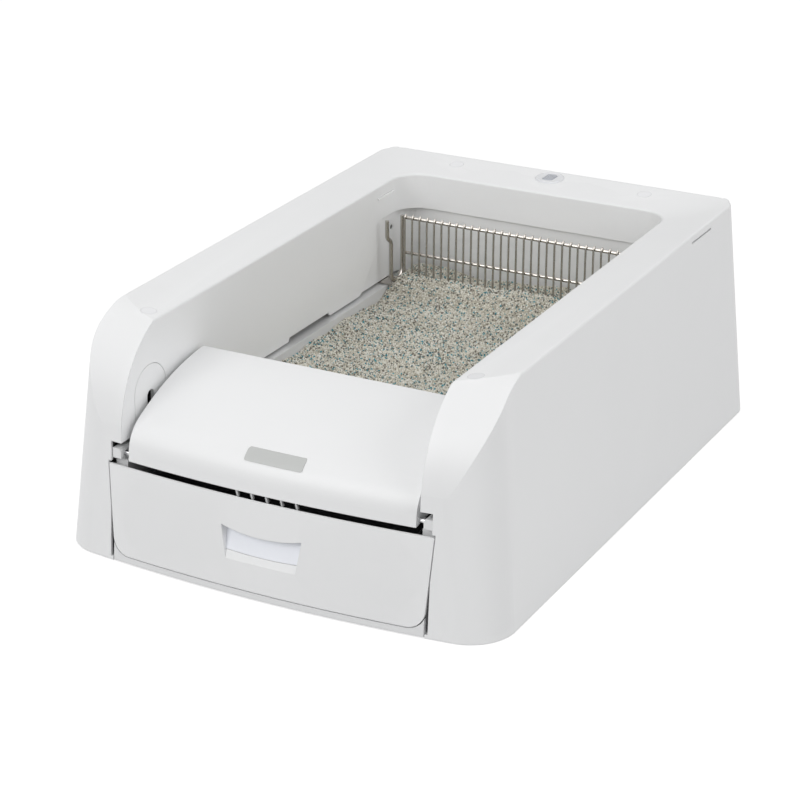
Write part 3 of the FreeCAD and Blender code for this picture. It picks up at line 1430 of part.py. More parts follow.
def make_rake_loop():
    """The bent wire at the rake's right end: down, round a hook and up again with a jog."""
    x = RAKE_HALF
    y0 = RAKE_AT
    y1 = RAKE_AT - 2.0 * LOOP_BEND
    low = TINE_LOW_Z + LOOP_RADIUS + LOOP_BEND
    jog_z = ROD_TOP_Z - LOOP_JOG_DROP
    jog_low = jog_z - LOOP_JOG_RISE
    jog_high = jog_z + LOOP_JOG_RISE
    y2 = y1 - LOOP_JOG
    half = (y1 - y2) / 2.0
    rise = (jog_high - jog_low) / 2.0
    bend = (half ** 2 + rise ** 2) / (2.0 * half)
    turn = math.asin(rise / bend) / 2.0
    first_mid = V(x, y1 - bend * (1.0 - math.cos(turn)), jog_low + bend * math.sin(turn))
    last_mid = V(x, y2 + bend * (1.0 - math.cos(turn)), jog_high - bend * math.sin(turn))
    centre = V(x, y1 - half, jog_z)
    edges = [
        Part.LineSegment(V(x, y0, ROD_TOP_Z + RAKE_ROD_RADIUS), V(x, y0, low)).toShape(),
        Part.Arc(V(x, y0, low), V(x, y0 - LOOP_BEND, low - LOOP_BEND), V(x, y1, low)).toShape(),
        Part.LineSegment(V(x, y1, low), V(x, y1, jog_low)).toShape(),
        Part.Arc(V(x, y1, jog_low), first_mid, centre).toShape(),
        Part.Arc(centre, last_mid, V(x, y2, jog_high)).toShape(),
        Part.LineSegment(V(x, y2, jog_high), V(x, y2, ROD_TOP_Z + LOOP_TOP_RISE)).toShape(),
    ]
    path = Part.Wire(edges)
    ring = Part.Wire([Part.Circle(V(x, y0, ROD_TOP_Z + RAKE_ROD_RADIUS), UP, LOOP_RADIUS).toShape()])
    return path.makePipeShell([ring], True, True)


def make_rake_loops():
    return pair(make_rake_loop())


def arm_middle():
    return RAKE_AT - LOOP_BEND


def make_rake_arms():
    y = arm_middle()
    half = ARM_LENGTH / 2.0
    plate = block(RAKE_HALF - LOOP_RADIUS, GUIDE_X + CARRIAGE_WIDTH / 2.0, y - half, y + half, ARM_LOW, ARM_TOP)
    return pair(plate)


def make_carriages():
    y = arm_middle()
    half = CARRIAGE_LENGTH / 2.0
    wide = CARRIAGE_WIDTH / 2.0
    z0 = GUIDE_Z - GUIDE_RADIUS - BUSH_T - 3.0
    body = block(GUIDE_X - wide, GUIDE_X + wide, y - half, y + half, z0, ARM_LOW)
    belt_z = GUIDE_Z + PULLEY_PITCH
    jaw = block(
        GUIDE_X + wide,
        BELT_X + BELT_WIDTH / 2.0 + 3.0,
        y - half,
        y + half,
        belt_z - 3.0,
        belt_z + 3.5,
    )
    slot = block(
        BELT_X - BELT_WIDTH / 2.0 - RUN_GAP,
        BELT_X + BELT_WIDTH / 2.0 + RUN_GAP,
        y - LENGTH,
        y + LENGTH,
        belt_z - BELT_T / 2.0 - RUN_GAP,
        belt_z + BELT_T / 2.0 + RUN_GAP,
    )
    hole = rod_y(GUIDE_X, y - LENGTH, y + LENGTH, GUIDE_Z, GUIDE_RADIUS + BEARING_GAP + BUSH_T)
    return pair(body.fuse(jaw).cut([slot, hole]).removeSplitter())


def make_carriage_bushes():
    y = arm_middle()
    half = CARRIAGE_LENGTH / 2.0
    ring = rod_y(GUIDE_X, y - half, y + half, GUIDE_Z, GUIDE_RADIUS + BEARING_GAP + BUSH_T - 0.02)
    hole = rod_y(GUIDE_X, y - LENGTH, y + LENGTH, GUIDE_Z, GUIDE_RADIUS + BEARING_GAP)
    return pair(ring.cut(hole))


def make_arm_screws():
    y = arm_middle()
    screws = []
    for sign in (-1, 1):
        for dy in (-6.0, 6.0):
            screws.append(rod_z(sign * GUIDE_X, y + dy, ARM_TOP, ARM_TOP + 1.2, 2.5))
    return Part.makeCompound(screws)


def main():
    outer = housing_form(0.0)
    inner = housing_form(WALL)
    deeper = housing_form(WALL + 2.0)
    nodes = {
        "outer_shell": make_outer_shell(outer, inner),
        "hood_plugs": make_hood_plugs(outer, inner, deeper),
        "hood_catches": make_hood_catch(),
        "arm_cover_right": make_arm_cover(),
        "arm_cover_left": mirrored(make_arm_cover()),
        "slot_pocket_right": make_slot_pocket(),
        "slot_pocket_left": mirrored(make_slot_pocket()),
        "button_bezel": make_button_bezel(),
        "button_board": make_button_board(),
        "control_button": make_control_button(),
        "base_chassis": make_base_chassis(),
        "rubber_feet": make_rubber_feet(),
        "litter_tray": make_litter_tray(),
        "litter_bed": make_litter_bed(),
        "rear_liner": make_rear_liner(),
        "light_emitter": make_sensor(-1),
        "light_receiver": make_sensor(1),
        "guide_rod_left": make_guide_rod(-1),
        "guide_rod_right": make_guide_rod(1),
        "rod_brackets": make_rod_brackets(),
        "belt_left": make_belt(-1),
        "belt_right": make_belt(1),
        "idler_axles": make_idler_axles(),
        "shaft_bushes": make_shaft_bushes(),
        "gear_motor": make_gear_motor(),
        "motor_bracket": make_motor_bracket(),
        "main_board": make_main_board(),
        "board_screws": make_board_screws(),
        "power_jack": make_power_jack(),
        "travel_switches": make_travel_switches(),
        "lid_lug_left": make_lid_lug(-1),
        "lid_lug_right": make_lid_lug(1),
        "drawer_runners": make_drawer_runners(),
        "step_lid": make_step_lid(),
        "lid_badge": make_lid_badge(),
        "lid_ribs": make_lid_ribs(),
        "lid_hinge_pins": make_lid_hinge_pins(),
        "drawer_front": make_drawer_front(),
        "grip_pocket": make_grip_pocket(),
        "waste_bin": make_waste_bin(),
        "rake_rods": make_rake_rods(),
        "rake_tines": make_rake_tines(),
        "rake_loops": make_rake_loops(),
        "rake_arms": make_rake_arms(),
        "carriages": make_carriages(),
        "carriage_bushes": make_carriage_bushes(),
        "arm_screws": make_arm_screws(),
        "drive_shaft": make_drive_shaft(),
        "pulley_left": make_pulley(-1),
        "pulley_right": make_pulley(1),
        "driven_gear": make_driven_gear(),
        "motor_pinion": make_motor_pinion(),
        "idler_left": make_idler(-1),
        "idler_right": make_idler(1),
    }
    os.makedirs("parts", exist_ok=True)
    for name, shape in nodes.items():
        shape.exportStep(os.path.join("parts", name + ".step"))
        box = shape.optimalBoundingBox(True, False)
        print(
            f"{name:18s} solids {len(shape.Solids)} valid {shape.isValid()} volume {shape.Volume / 1000:.1f} cm3 "
            f"x {box.XMin:.1f}..{box.XMax:.1f} y {box.YMin:.1f}..{box.YMax:.1f} z {box.ZMin:.1f}..{box.ZMax:.1f}"
        )


main()
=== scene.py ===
"""The looks of a self-cleaning litter box: its finishes, its loose litter, and a plain studio round it."""

import logging
import math
from dataclasses import dataclass, field
from enum import Enum

import bpy
import numpy as np
from mathutils import Matrix, Vector


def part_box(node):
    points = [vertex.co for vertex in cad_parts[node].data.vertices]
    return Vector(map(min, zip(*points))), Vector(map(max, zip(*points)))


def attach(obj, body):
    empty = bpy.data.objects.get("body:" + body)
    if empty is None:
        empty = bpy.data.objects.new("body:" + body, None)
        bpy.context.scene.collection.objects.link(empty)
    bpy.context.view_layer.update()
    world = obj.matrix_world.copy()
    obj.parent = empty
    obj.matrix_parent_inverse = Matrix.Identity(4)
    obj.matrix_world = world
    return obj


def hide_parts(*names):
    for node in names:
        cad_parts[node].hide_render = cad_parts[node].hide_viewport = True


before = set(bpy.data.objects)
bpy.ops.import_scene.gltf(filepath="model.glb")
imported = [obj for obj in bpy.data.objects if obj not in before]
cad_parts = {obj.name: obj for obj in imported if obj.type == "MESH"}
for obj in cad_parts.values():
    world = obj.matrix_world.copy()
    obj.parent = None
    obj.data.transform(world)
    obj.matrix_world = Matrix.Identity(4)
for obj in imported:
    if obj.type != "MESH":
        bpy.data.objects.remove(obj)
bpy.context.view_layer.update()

log = logging.getLogger("litter_box")

Colour = tuple[float, float, float]
MILLIMETRE = 0.001
FLOW_SIZE = 0.12
DUST_PATCH = 0.03


class Family(Enum):
    """The ways in which a surface is made."""

    MOULDED = "moulded"
    POLISHED = "polished"
    GROUND_METAL = "ground metal"
    LACQUERED_METAL = "lacquered metal"
    RUBBER = "rubber"
    BOARD = "circuit board"
    GRANULES = "granules"


@dataclass(frozen=True)
class Finish:
    """One surface finish: its colour, its gloss, the grain that the tool has left, a painted highlight on
    its edges and the dust on it.
    """

    slot: str
    family: Family
    colour: Colour
    roughness: float
    tone_spread: float = 0.03
    grain_mm: float = 0.9
    grain_depth_mm: float = 0.02
    gloss_spread: float = 0.06
    rounding_mm: float = 0.8
    # painted highlight: how much lighter the edges are painted
    edge_highlight: float = 0.04
    dust: float = 0.0


HOUSING = Finish("housing_plastic", Family.MOULDED, (0.87, 0.875, 0.88), 0.40, rounding_mm=1.0)
PLUG = Finish("plug_plastic", Family.POLISHED, (0.83, 0.835, 0.85), 0.26, rounding_mm=0.5)
# painted highlight: the catches are coloured lighter than the housing to stand for their bright edges
CATCH_PAINTED_HIGHLIGHT = Finish("catch_plastic_painted_highlight", Family.POLISHED, (0.96, 0.965, 0.975), 0.22, rounding_mm=0.3)
BASE = Finish("base_plastic", Family.MOULDED, (0.80, 0.805, 0.81), 0.44, rounding_mm=0.7)
POCKET = Finish("pocket_plastic", Family.MOULDED, (0.87, 0.89, 0.94), 0.34, grain_depth_mm=0.008)
BADGE = Finish("badge_plastic", Family.MOULDED, (0.53, 0.54, 0.53), 0.38, rounding_mm=0.2)
LINER = Finish("liner_plastic", Family.MOULDED, (0.85, 0.855, 0.86), 0.38, dust=0.08)
TRAY = Finish("tray_plastic", Family.POLISHED, (0.74, 0.745, 0.75), 0.32, dust=0.15)
BIN = Finish("bin_plastic", Family.MOULDED, (0.10, 0.10, 0.11), 0.45)
BEZEL = Finish("bezel_plastic", Family.POLISHED, (0.80, 0.81, 0.83), 0.24, rounding_mm=0.4)
BUTTON = Finish("button_plastic", Family.POLISHED, (0.40, 0.42, 0.47), 0.28, rounding_mm=0.4)
FOOT = Finish("foot_rubber", Family.RUBBER, (0.03, 0.03, 0.035), 0.72, grain_mm=0.5)
BELT = Finish("belt_rubber", Family.RUBBER, (0.022, 0.022, 0.024), 0.60, grain_mm=2.0, grain_depth_mm=0.25)
WIRE = Finish("wire_steel", Family.GROUND_METAL, (0.50, 0.475, 0.44), 0.20, grain_mm=0.5, rounding_mm=0.2)
ROD = Finish("rod_steel", Family.GROUND_METAL, (0.62, 0.62, 0.63), 0.20, grain_mm=0.4, rounding_mm=0.3)
SCREW = Finish("screw_steel", Family.GROUND_METAL, (0.60, 0.60, 0.58), 0.33, rounding_mm=0.3)
MOTOR = Finish("motor_steel", Family.LACQUERED_METAL, (0.20, 0.21, 0.22), 0.35)
BRACKET = Finish("bracket_steel", Family.LACQUERED_METAL, (0.50, 0.51, 0.52), 0.38, rounding_mm=0.5)
NYLON = Finish("engineering_plastic", Family.MOULDED, (0.030, 0.030, 0.033), 0.48, grain_mm=0.6)
ACETAL = Finish("gear_plastic", Family.POLISHED, (0.76, 0.73, 0.62), 0.30, rounding_mm=0.25)
BRONZE = Finish("bush_bronze", Family.GROUND_METAL, (0.55, 0.38, 0.20), 0.40, rounding_mm=0.2)
BOARD = Finish("board_green", Family.BOARD, (0.015, 0.10, 0.045), 0.28, grain_mm=2.4, rounding_mm=0.2)
LITTER = Finish("litter", Family.GRANULES, (0.55, 0.51, 0.43), 0.85)


@dataclass(frozen=True)
class GranuleTone:
    """One sort of litter granule: its colour and the share of granules that are lighter in number."""

    up_to: float
    colour: Colour


GRANULE_TONES = (
    GranuleTone(0.00, (0.80, 0.765, 0.67)),
    GranuleTone(0.26, (0.93, 0.91, 0.83)),
    GranuleTone(0.50, (0.54, 0.51, 0.43)),
    GranuleTone(0.60, (0.97, 0.96, 0.91)),
    GranuleTone(0.79, (0.17, 0.16, 0.13)),
    GranuleTone(0.91, (0.02, 0.16, 0.20)),
    GranuleTone(0.95, (0.05, 0.36, 0.44)),
)


class Sheet:
    """A node tree with short ways to add nodes and links."""

    def __init__(self, tree: bpy.types.NodeTree) -> None:
        """Keeps the tree.

        Args:
            tree: The node tree that new nodes go into.
        """
        self.tree = tree

    def add(self, kind: str, **values: object) -> bpy.types.Node:
        """Adds a node.

        Args:
            kind: The node's type name.
            values: Attributes of the node to set.

        Returns:
            The new node.
        """
        node = self.tree.nodes.new(kind)
        for name, value in values.items():
            setattr(node, name, value)
        return node

    def link(self, source: bpy.types.NodeSocket, target: bpy.types.NodeSocket) -> None:
        """Joins an output to an input."""
        self.tree.links.new(source, target)

    def math(self, operation: str, first: object, second: object) -> bpy.types.NodeSocket:
        """Adds a Math node.

        Args:
            operation: The operation's name.
            first: A socket or a number.
            second: A socket or a number.

        Returns:
            The result's socket.
        """
        node = self.add("ShaderNodeMath", operation=operation)
        for slot, value in zip(node.inputs, (first, second)):
            if isinstance(value, bpy.types.NodeSocket):
                self.link(value, slot)
            else:
                slot.default_value = value
        return node.outputs[0]

    def spread(self, value: bpy.types.NodeSocket, low: float, high: float) -> bpy.types.NodeSocket:
        """Turns a mask of 0 to 1 into a value between two limits.

        Args:
            value: The mask.
            low: The result where the mask is 0.
            high: The result where the mask is 1.

        Returns:
            The result's socket.
        """
        node = self.add("ShaderNodeMapRange")
        self.link(value, node.inputs["Value"])
        node.inputs["To Min"].default_value = low
        node.inputs["To Max"].default_value = high
        return node.outputs["Result"]

    def blend(self, share: object, first: object, second: object, mode: str = "MIX") -> bpy.types.NodeSocket:
        """Adds a colour mix.

        Args:
            share: A socket or a number, 0 for the first colour and 1 for the second.
            first: A socket or a colour.
            second: A socket or a colour.
            mode: The blend mode.

        Returns:
            The mixed colour's socket.
        """
        node = self.add("ShaderNodeMix", data_type="RGBA", blend_type=mode)
        factor, left, right = node.inputs[0], node.inputs[6], node.inputs[7]
        for slot, value in ((factor, share), (left, first), (right, second)):
            if isinstance(value, bpy.types.NodeSocket):
                self.link(value, slot)
            elif isinstance(value, (int, float)):
                slot.default_value = value
            else:
                slot.default_value = (*value, 1.0)
        return node.outputs[2]


class Effects:
    """The shared surface effects, each one a node group that is built once."""

    # pointiness range over which the painted edge highlight fades in
    HIGHLIGHT_EDGE_BAND = (0.52, 0.60)
    FINE_SHARE = 0.35
    FLOW_SHARE = 0.65
    LINE_STRETCH = 0.08

    def __init__(self) -> None:
        """Builds the groups."""
        self.grain = self._make_grain()
        self.edges = self._make_edges()
        self.brushed = self._make_brushed()

    @staticmethod
    def _new(name: str, inputs: list[tuple[str, float]], outputs: list[str]) -> tuple[Sheet, dict, dict]:
        """Starts a group.

        Args:
            name: The group's name.
            inputs: Each input's name and default value.
            outputs: The outputs' names.

        Returns:
            The sheet, the inputs by name and the outputs by name.
        """
        tree = bpy.data.node_groups.new(name, "ShaderNodeTree")
        for label, value in inputs:
            socket = tree.interface.new_socket(name=label, in_out="INPUT", socket_type="NodeSocketFloat")
            socket.default_value = value
        for label in outputs:
            tree.interface.new_socket(name=label, in_out="OUTPUT", socket_type="NodeSocketFloat")
        sheet = Sheet(tree)
        entry = sheet.add("NodeGroupInput")
        leave = sheet.add("NodeGroupOutput")
        into = {socket.name: socket for socket in entry.outputs if socket.name}
        out = {socket.name: socket for socket in leave.inputs if socket.name}
        return sheet, into, out

    def _make_grain(self) -> bpy.types.NodeTree:
        """The fine skin of a moulded part, with slow changes of tone from its flow in the mould."""
        sizes = [("Grain Size", MILLIMETRE), ("Flow Size", FLOW_SIZE)]
        sheet, into, out = self._new("moulded_grain", sizes, ["Tone", "Height"])
        place = sheet.add("ShaderNodeTexCoord").outputs["Object"]
        fine = sheet.add("ShaderNodeTexNoise")
        fine.inputs["Detail"].default_value = 3.0
        fine.inputs["Roughness"].default_value = 0.6
        sheet.link(place, fine.inputs["Vector"])
        sheet.link(sheet.math("DIVIDE", 1.0, into["Grain Size"]), fine.inputs["Scale"])
        flow = sheet.add("ShaderNodeTexNoise")
        flow.inputs["Detail"].default_value = 2.0
        flow.inputs["Distortion"].default_value = 0.6
        sheet.link(place, flow.inputs["Vector"])
        sheet.link(sheet.math("DIVIDE", 1.0, into["Flow Size"]), flow.inputs["Scale"])
        fine_share = sheet.math("MULTIPLY", fine.outputs["Fac"], self.FINE_SHARE)
        flow_share = sheet.math("MULTIPLY", flow.outputs["Fac"], self.FLOW_SHARE)
        sheet.link(sheet.math("ADD", fine_share, flow_share), out["Tone"])
        sheet.link(fine.outputs["Fac"], out["Height"])
        return sheet.tree

    def _make_edges(self) -> bpy.types.NodeTree:
        """Painted highlight: edges a little lighter than the face, and dust that lies on what looks up."""
        sheet, into, out = self._new("edge_highlight_and_dust", [("Patch Size", DUST_PATCH)], ["Edge", "Dust"])
        shape = sheet.add("ShaderNodeNewGeometry")
        ramp = sheet.add("ShaderNodeMapRange")
        ramp.inputs["From Min"].default_value, ramp.inputs["From Max"].default_value = self.HIGHLIGHT_EDGE_BAND
        sheet.link(shape.outputs["Pointiness"], ramp.inputs["Value"])
        sheet.link(ramp.outputs["Result"], out["Edge"])
        split = sheet.add("ShaderNodeSeparateXYZ")
        sheet.link(shape.outputs["Normal"], split.inputs["Vector"])
        up = sheet.math("MAXIMUM", split.outputs["Z"], 0.0)
        patch = sheet.add("ShaderNodeTexNoise")
        patch.inputs["Detail"].default_value = 6.0
        patch.inputs["Roughness"].default_value = 0.7
        sheet.link(sheet.add("ShaderNodeTexCoord").outputs["Object"], patch.inputs["Vector"])
        sheet.link(sheet.math("DIVIDE", 1.0, into["Patch Size"]), patch.inputs["Scale"])
        sheet.link(sheet.math("MULTIPLY", up, patch.outputs["Fac"]), out["Dust"])
        return sheet.tree

    def _make_brushed(self) -> bpy.types.NodeTree:
        """Fine drawn lines of a ground or drawn metal."""
        sheet, into, out = self._new("drawn_lines", [("Line Size", 0.0005)], ["Tone", "Height"])
        stretch = sheet.add("ShaderNodeMapping")
        stretch.inputs["Scale"].default_value = (1.0, 1.0, self.LINE_STRETCH)
        sheet.link(sheet.add("ShaderNodeTexCoord").outputs["Object"], stretch.inputs["Vector"])
        lines = sheet.add("ShaderNodeTexNoise")
        lines.inputs["Detail"].default_value = 5.0
        lines.inputs["Roughness"].default_value = 0.65
        sheet.link(stretch.outputs["Vector"], lines.inputs["Vector"])
        sheet.link(sheet.math("DIVIDE", 1.0, into["Line Size"]), lines.inputs["Scale"])
        sheet.link(lines.outputs["Fac"], out["Tone"])
        sheet.link(lines.outputs["Fac"], out["Height"])
        return sheet.tree


class FinishShop:
    """Makes one material for each finish and gives it to the pieces."""

    DUST_COLOUR: Colour = (0.60, 0.57, 0.50)
    BOARD_TRACK: Colour = (0.06, 0.26, 0.12)
    DRAWN_METAL = 0.35
    EDGE_HIGHLIGHT_SHARE = 0.5
    COAT = 0.25
    COAT_ROUGHNESS = 0.12
    RELIEF_SHARE = 0.6
    SPECKLE = 0.6 * MILLIMETRE
    SPECKLE_FLOW = 0.05
    SPECKLE_SHARE = 0.12
    SPECKLE_DEPTH = 0.2 * MILLIMETRE
    GRANULE_ROUGHNESS = (0.78, 0.95)

    def __init__(self) -> None:
        """Builds the shared effects."""
        self.effects = Effects()
        self.made: dict[str, bpy.types.Material] = {}

    def material(self, finish: Finish) -> bpy.types.Material:
        """Gives the material of a finish, and makes it on first use.

        Args:
            finish: The finish.

        Returns:
            Its material.
        """
        if finish.slot not in self.made:
            self.made[finish.slot] = self._make(finish)
        return self.made[finish.slot]

    def _group(self, sheet: Sheet, tree: bpy.types.NodeTree, **sizes: float) -> bpy.types.Node:
        """Places a shared effect.

        Args:
            sheet: The material's sheet.
            tree: The effect's node group.
            sizes: Input values, with underscores for spaces.

        Returns:
            The group's node.
        """
        node = sheet.add("ShaderNodeGroup", node_tree=tree)
        for name, value in sizes.items():
            node.inputs[name.replace("_", " ").title()].default_value = value
        return node

    def _make(self, finish: Finish) -> bpy.types.Material:
        """Makes a finish's material.

        Args:
            finish: The finish.

        Returns:
            The new material.
        """
        material = bpy.data.materials.new(finish.slot)
        material.use_nodes = True
        material.diffuse_color = (*finish.colour, 1.0)
        material.node_tree.nodes.clear()
        sheet = Sheet(material.node_tree)
        shader = sheet.add("ShaderNodeBsdfPrincipled")
        sheet.link(shader.outputs[0], sheet.add("ShaderNodeOutputMaterial").inputs["Surface"])
        if finish.family is Family.GRANULES:
            self._granules(sheet, shader, finish)
        else:
            self._hard_surface(sheet, shader, finish)
        return material

    def _hard_surface(self, sheet: Sheet, shader: bpy.types.Node, finish: Finish) -> None:
        """Fills in a plastic, metal, rubber or board surface.

        Args:
            sheet: The material's sheet.
            shader: Its shader.
            finish: The finish.
        """
        grain_m = finish.grain_mm * MILLIMETRE
        if finish.family is Family.GROUND_METAL:
            skin = self._group(sheet, self.effects.brushed, line_size=grain_m)
            shader.inputs["Metallic"].default_value = 1.0
            shader.inputs["Anisotropic"].default_value = self.DRAWN_METAL
        else:
            skin = self._group(sheet, self.effects.grain, grain_size=grain_m, flow_size=FLOW_SIZE)
        tone = skin.outputs["Tone"]
        low = tuple(c * (1.0 - finish.tone_spread) for c in finish.colour)
        high = tuple(min(c * (1.0 + finish.tone_spread), 1.0) for c in finish.colour)
        colour = sheet.blend(tone, low, high)
        if finish.family is Family.BOARD:
            tracks = sheet.add("ShaderNodeTexBrick")
            tracks.inputs["Scale"].default_value = 1.0 / (grain_m * 4.0)
            tracks.inputs["Mortar Size"].default_value = 0.05
            sheet.link(sheet.add("ShaderNodeTexCoord").outputs["Object"], tracks.inputs["Vector"])
            colour = sheet.blend(tracks.outputs["Fac"], colour, self.BOARD_TRACK)
        marks = self._group(sheet, self.effects.edges, patch_size=DUST_PATCH)
        # painted highlight: the colour is lightened on convex edges
        highlight_lift = finish.edge_highlight * 0.3
        highlit_colour = tuple(min(c * (1.0 + finish.edge_highlight) + highlight_lift, 1.0) for c in finish.colour)
        colour = sheet.blend(sheet.math("MULTIPLY", marks.outputs["Edge"], self.EDGE_HIGHLIGHT_SHARE), colour, highlit_colour)
        if finish.dust > 0.0:
            dust = sheet.math("MULTIPLY", marks.outputs["Dust"], finish.dust)
            colour = sheet.blend(dust, colour, self.DUST_COLOUR)
        sheet.link(colour, shader.inputs["Base Color"])
        smooth, rough = finish.roughness - finish.gloss_spread, finish.roughness + finish.gloss_spread
        gloss = sheet.spread(tone, smooth, rough)
        sheet.link(gloss, shader.inputs["Roughness"])
        if finish.family in (Family.POLISHED, Family.LACQUERED_METAL):
            shader.inputs["Coat Weight"].default_value = self.COAT
            shader.inputs["Coat Roughness"].default_value = self.COAT_ROUGHNESS
        rounding = sheet.add("ShaderNodeBevel", samples=4)
        rounding.inputs["Radius"].default_value = finish.rounding_mm * MILLIMETRE
        relief = sheet.add("ShaderNodeBump")
        relief.inputs["Distance"].default_value = finish.grain_depth_mm * MILLIMETRE
        relief.inputs["Strength"].default_value = self.RELIEF_SHARE
        sheet.link(skin.outputs["Height"], relief.inputs["Height"])
        sheet.link(rounding.outputs["Normal"], relief.inputs["Normal"])
        sheet.link(relief.outputs["Normal"], shader.inputs["Normal"])

    def _granules(self, sheet: Sheet, shader: bpy.types.Node, finish: Finish) -> None:
        """Fills in the litter: each granule has its own tone, and a few are teal.

        Args:
            sheet: The material's sheet.
            shader: Its shader.
            finish: The finish.
        """
        own = sheet.add("ShaderNodeAttribute", attribute_name=LitterBed.TONE)
        ramp = sheet.add("ShaderNodeValToRGB")
        ramp.color_ramp.interpolation = "CONSTANT"
        marks = ramp.color_ramp.elements
        for index, tone in enumerate(GRANULE_TONES):
            mark = marks[index] if index < 2 else marks.new(tone.up_to)
            mark.position = tone.up_to
            mark.color = (*tone.colour, 1.0)
        sheet.link(own.outputs["Fac"], ramp.inputs["Fac"])
        speckle = self._group(
            sheet, self.effects.grain, grain_size=self.SPECKLE, flow_size=self.SPECKLE_FLOW
        )
        tone = speckle.outputs["Tone"]
        share = sheet.spread(tone, 0.0, self.SPECKLE_SHARE)
        sheet.link(sheet.blend(share, ramp.outputs["Color"], finish.colour), shader.inputs["Base Color"])
        sheet.link(sheet.spread(tone, *self.GRANULE_ROUGHNESS), shader.inputs["Roughness"])
        relief = sheet.add("ShaderNodeBump")
        relief.inputs["Distance"].default_value = self.SPECKLE_DEPTH
        sheet.link(speckle.outputs["Height"], relief.inputs["Height"])
        sheet.link(relief.outputs["Normal"], shader.inputs["Normal"])

    def dress(self, piece: bpy.types.Object, finish: Finish) -> None:
        """Puts a finish on a piece, in all its material slots.

        Args:
            piece: The object.
            finish: Its finish.
        """
        material = self.material(finish)
        if not piece.material_slots:
            piece.data.materials.append(material)
        for slot in piece.material_slots:
            slot.material = material


@dataclass
class SubAssembly:
    """Pieces that come off the bench together, with the finish of each."""

    title: str
    finishes: dict[str, Finish] = field(default_factory=dict)

    def dress(self, shop: FinishShop) -> None:
        """Gives each piece its finish.

        Args:
            shop: The maker of the finishes.
        """
        for node, finish in self.finishes.items():
            shop.dress(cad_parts[node], finish)
            log.info("%s: %s in %s", self.title, node, finish.slot)

    def build(self, shop: FinishShop) -> None:
        """Builds what the sub-assembly adds, which for most is nothing, and dresses it.

        Args:
            shop: The maker of the finishes.
        """
        self.dress(shop)


def both(stem: str, finish: Finish) -> dict[str, Finish]:
    """Gives the left and right pieces of one name the same finish."""
    return {f"{stem}_left": finish, f"{stem}_right": finish}


class TopHousing(SubAssembly):
    """The lift-off housing with its plugs, catches, arm covers and control button."""

    def __init__(self) -> None:
        """Lists the pieces."""
        finishes = {"outer_shell": HOUSING, "hood_plugs": PLUG, "hood_catches": CATCH_PAINTED_HIGHLIGHT}
        finishes |= both("arm_cover", HOUSING) | both("slot_pocket", NYLON)
        finishes |= {"button_bezel": BEZEL, "control_button": BUTTON, "button_board": BOARD}
        super().__init__("top housing", finishes)


class StepLid(SubAssembly):
    """The stepped lid, its bare badge plate and its ribs."""

    def __init__(self) -> None:
        """Lists the pieces."""
        finishes = {"step_lid": HOUSING, "lid_badge": BADGE, "lid_ribs": HOUSING, "lid_hinge_pins": ROD}
        super().__init__("step lid", finishes)


class WasteDrawer(SubAssembly):
    """The drawer's face, the scoop of its grip and the bin behind."""

    def __init__(self) -> None:
        """Lists the pieces."""
        super().__init__("waste drawer", {"drawer_front": HOUSING, "grip_pocket": POCKET, "waste_bin": BIN})


class Base(SubAssembly):
    """The lower housing with its feet, hinge lugs, runners, inlet and electronics."""

    def __init__(self) -> None:
        """Lists the pieces."""
        finishes = {"base_chassis": BASE, "drawer_runners": BASE, "rubber_feet": FOOT}
        finishes |= both("lid_lug", BASE)
        finishes |= {"main_board": BOARD, "board_screws": SCREW}
        dark = ("power_jack", "travel_switches", "light_emitter", "light_receiver")
        finishes |= {node: NYLON for node in dark}
        super().__init__("base", finishes)


class Drive(SubAssembly):
    """The motor, gears, shaft, wheels and belts that pull the rake."""

    def __init__(self) -> None:
        """Lists the pieces."""
        finishes = {"gear_motor": MOTOR, "motor_bracket": BRACKET, "shaft_bushes": BRONZE}
        finishes |= {"drive_shaft": ROD, "idler_axles": ROD, "rod_brackets": NYLON}
        finishes |= {"driven_gear": ACETAL, "motor_pinion": ACETAL}
        finishes |= both("guide_rod", ROD) | both("belt", BELT)
        finishes |= both("pulley", NYLON) | both("idler", NYLON)
        super().__init__("drive", finishes)


class Rake(SubAssembly):
    """The wire rake with its arms and carriages."""

    def __init__(self) -> None:
        """Lists the pieces."""
        finishes = {node: WIRE for node in ("rake_rods", "rake_tines", "rake_loops", "rake_arms")}
        finishes |= {"carriages": NYLON, "carriage_bushes": BRONZE, "arm_screws": SCREW}
        super().__init__("rake", finishes)


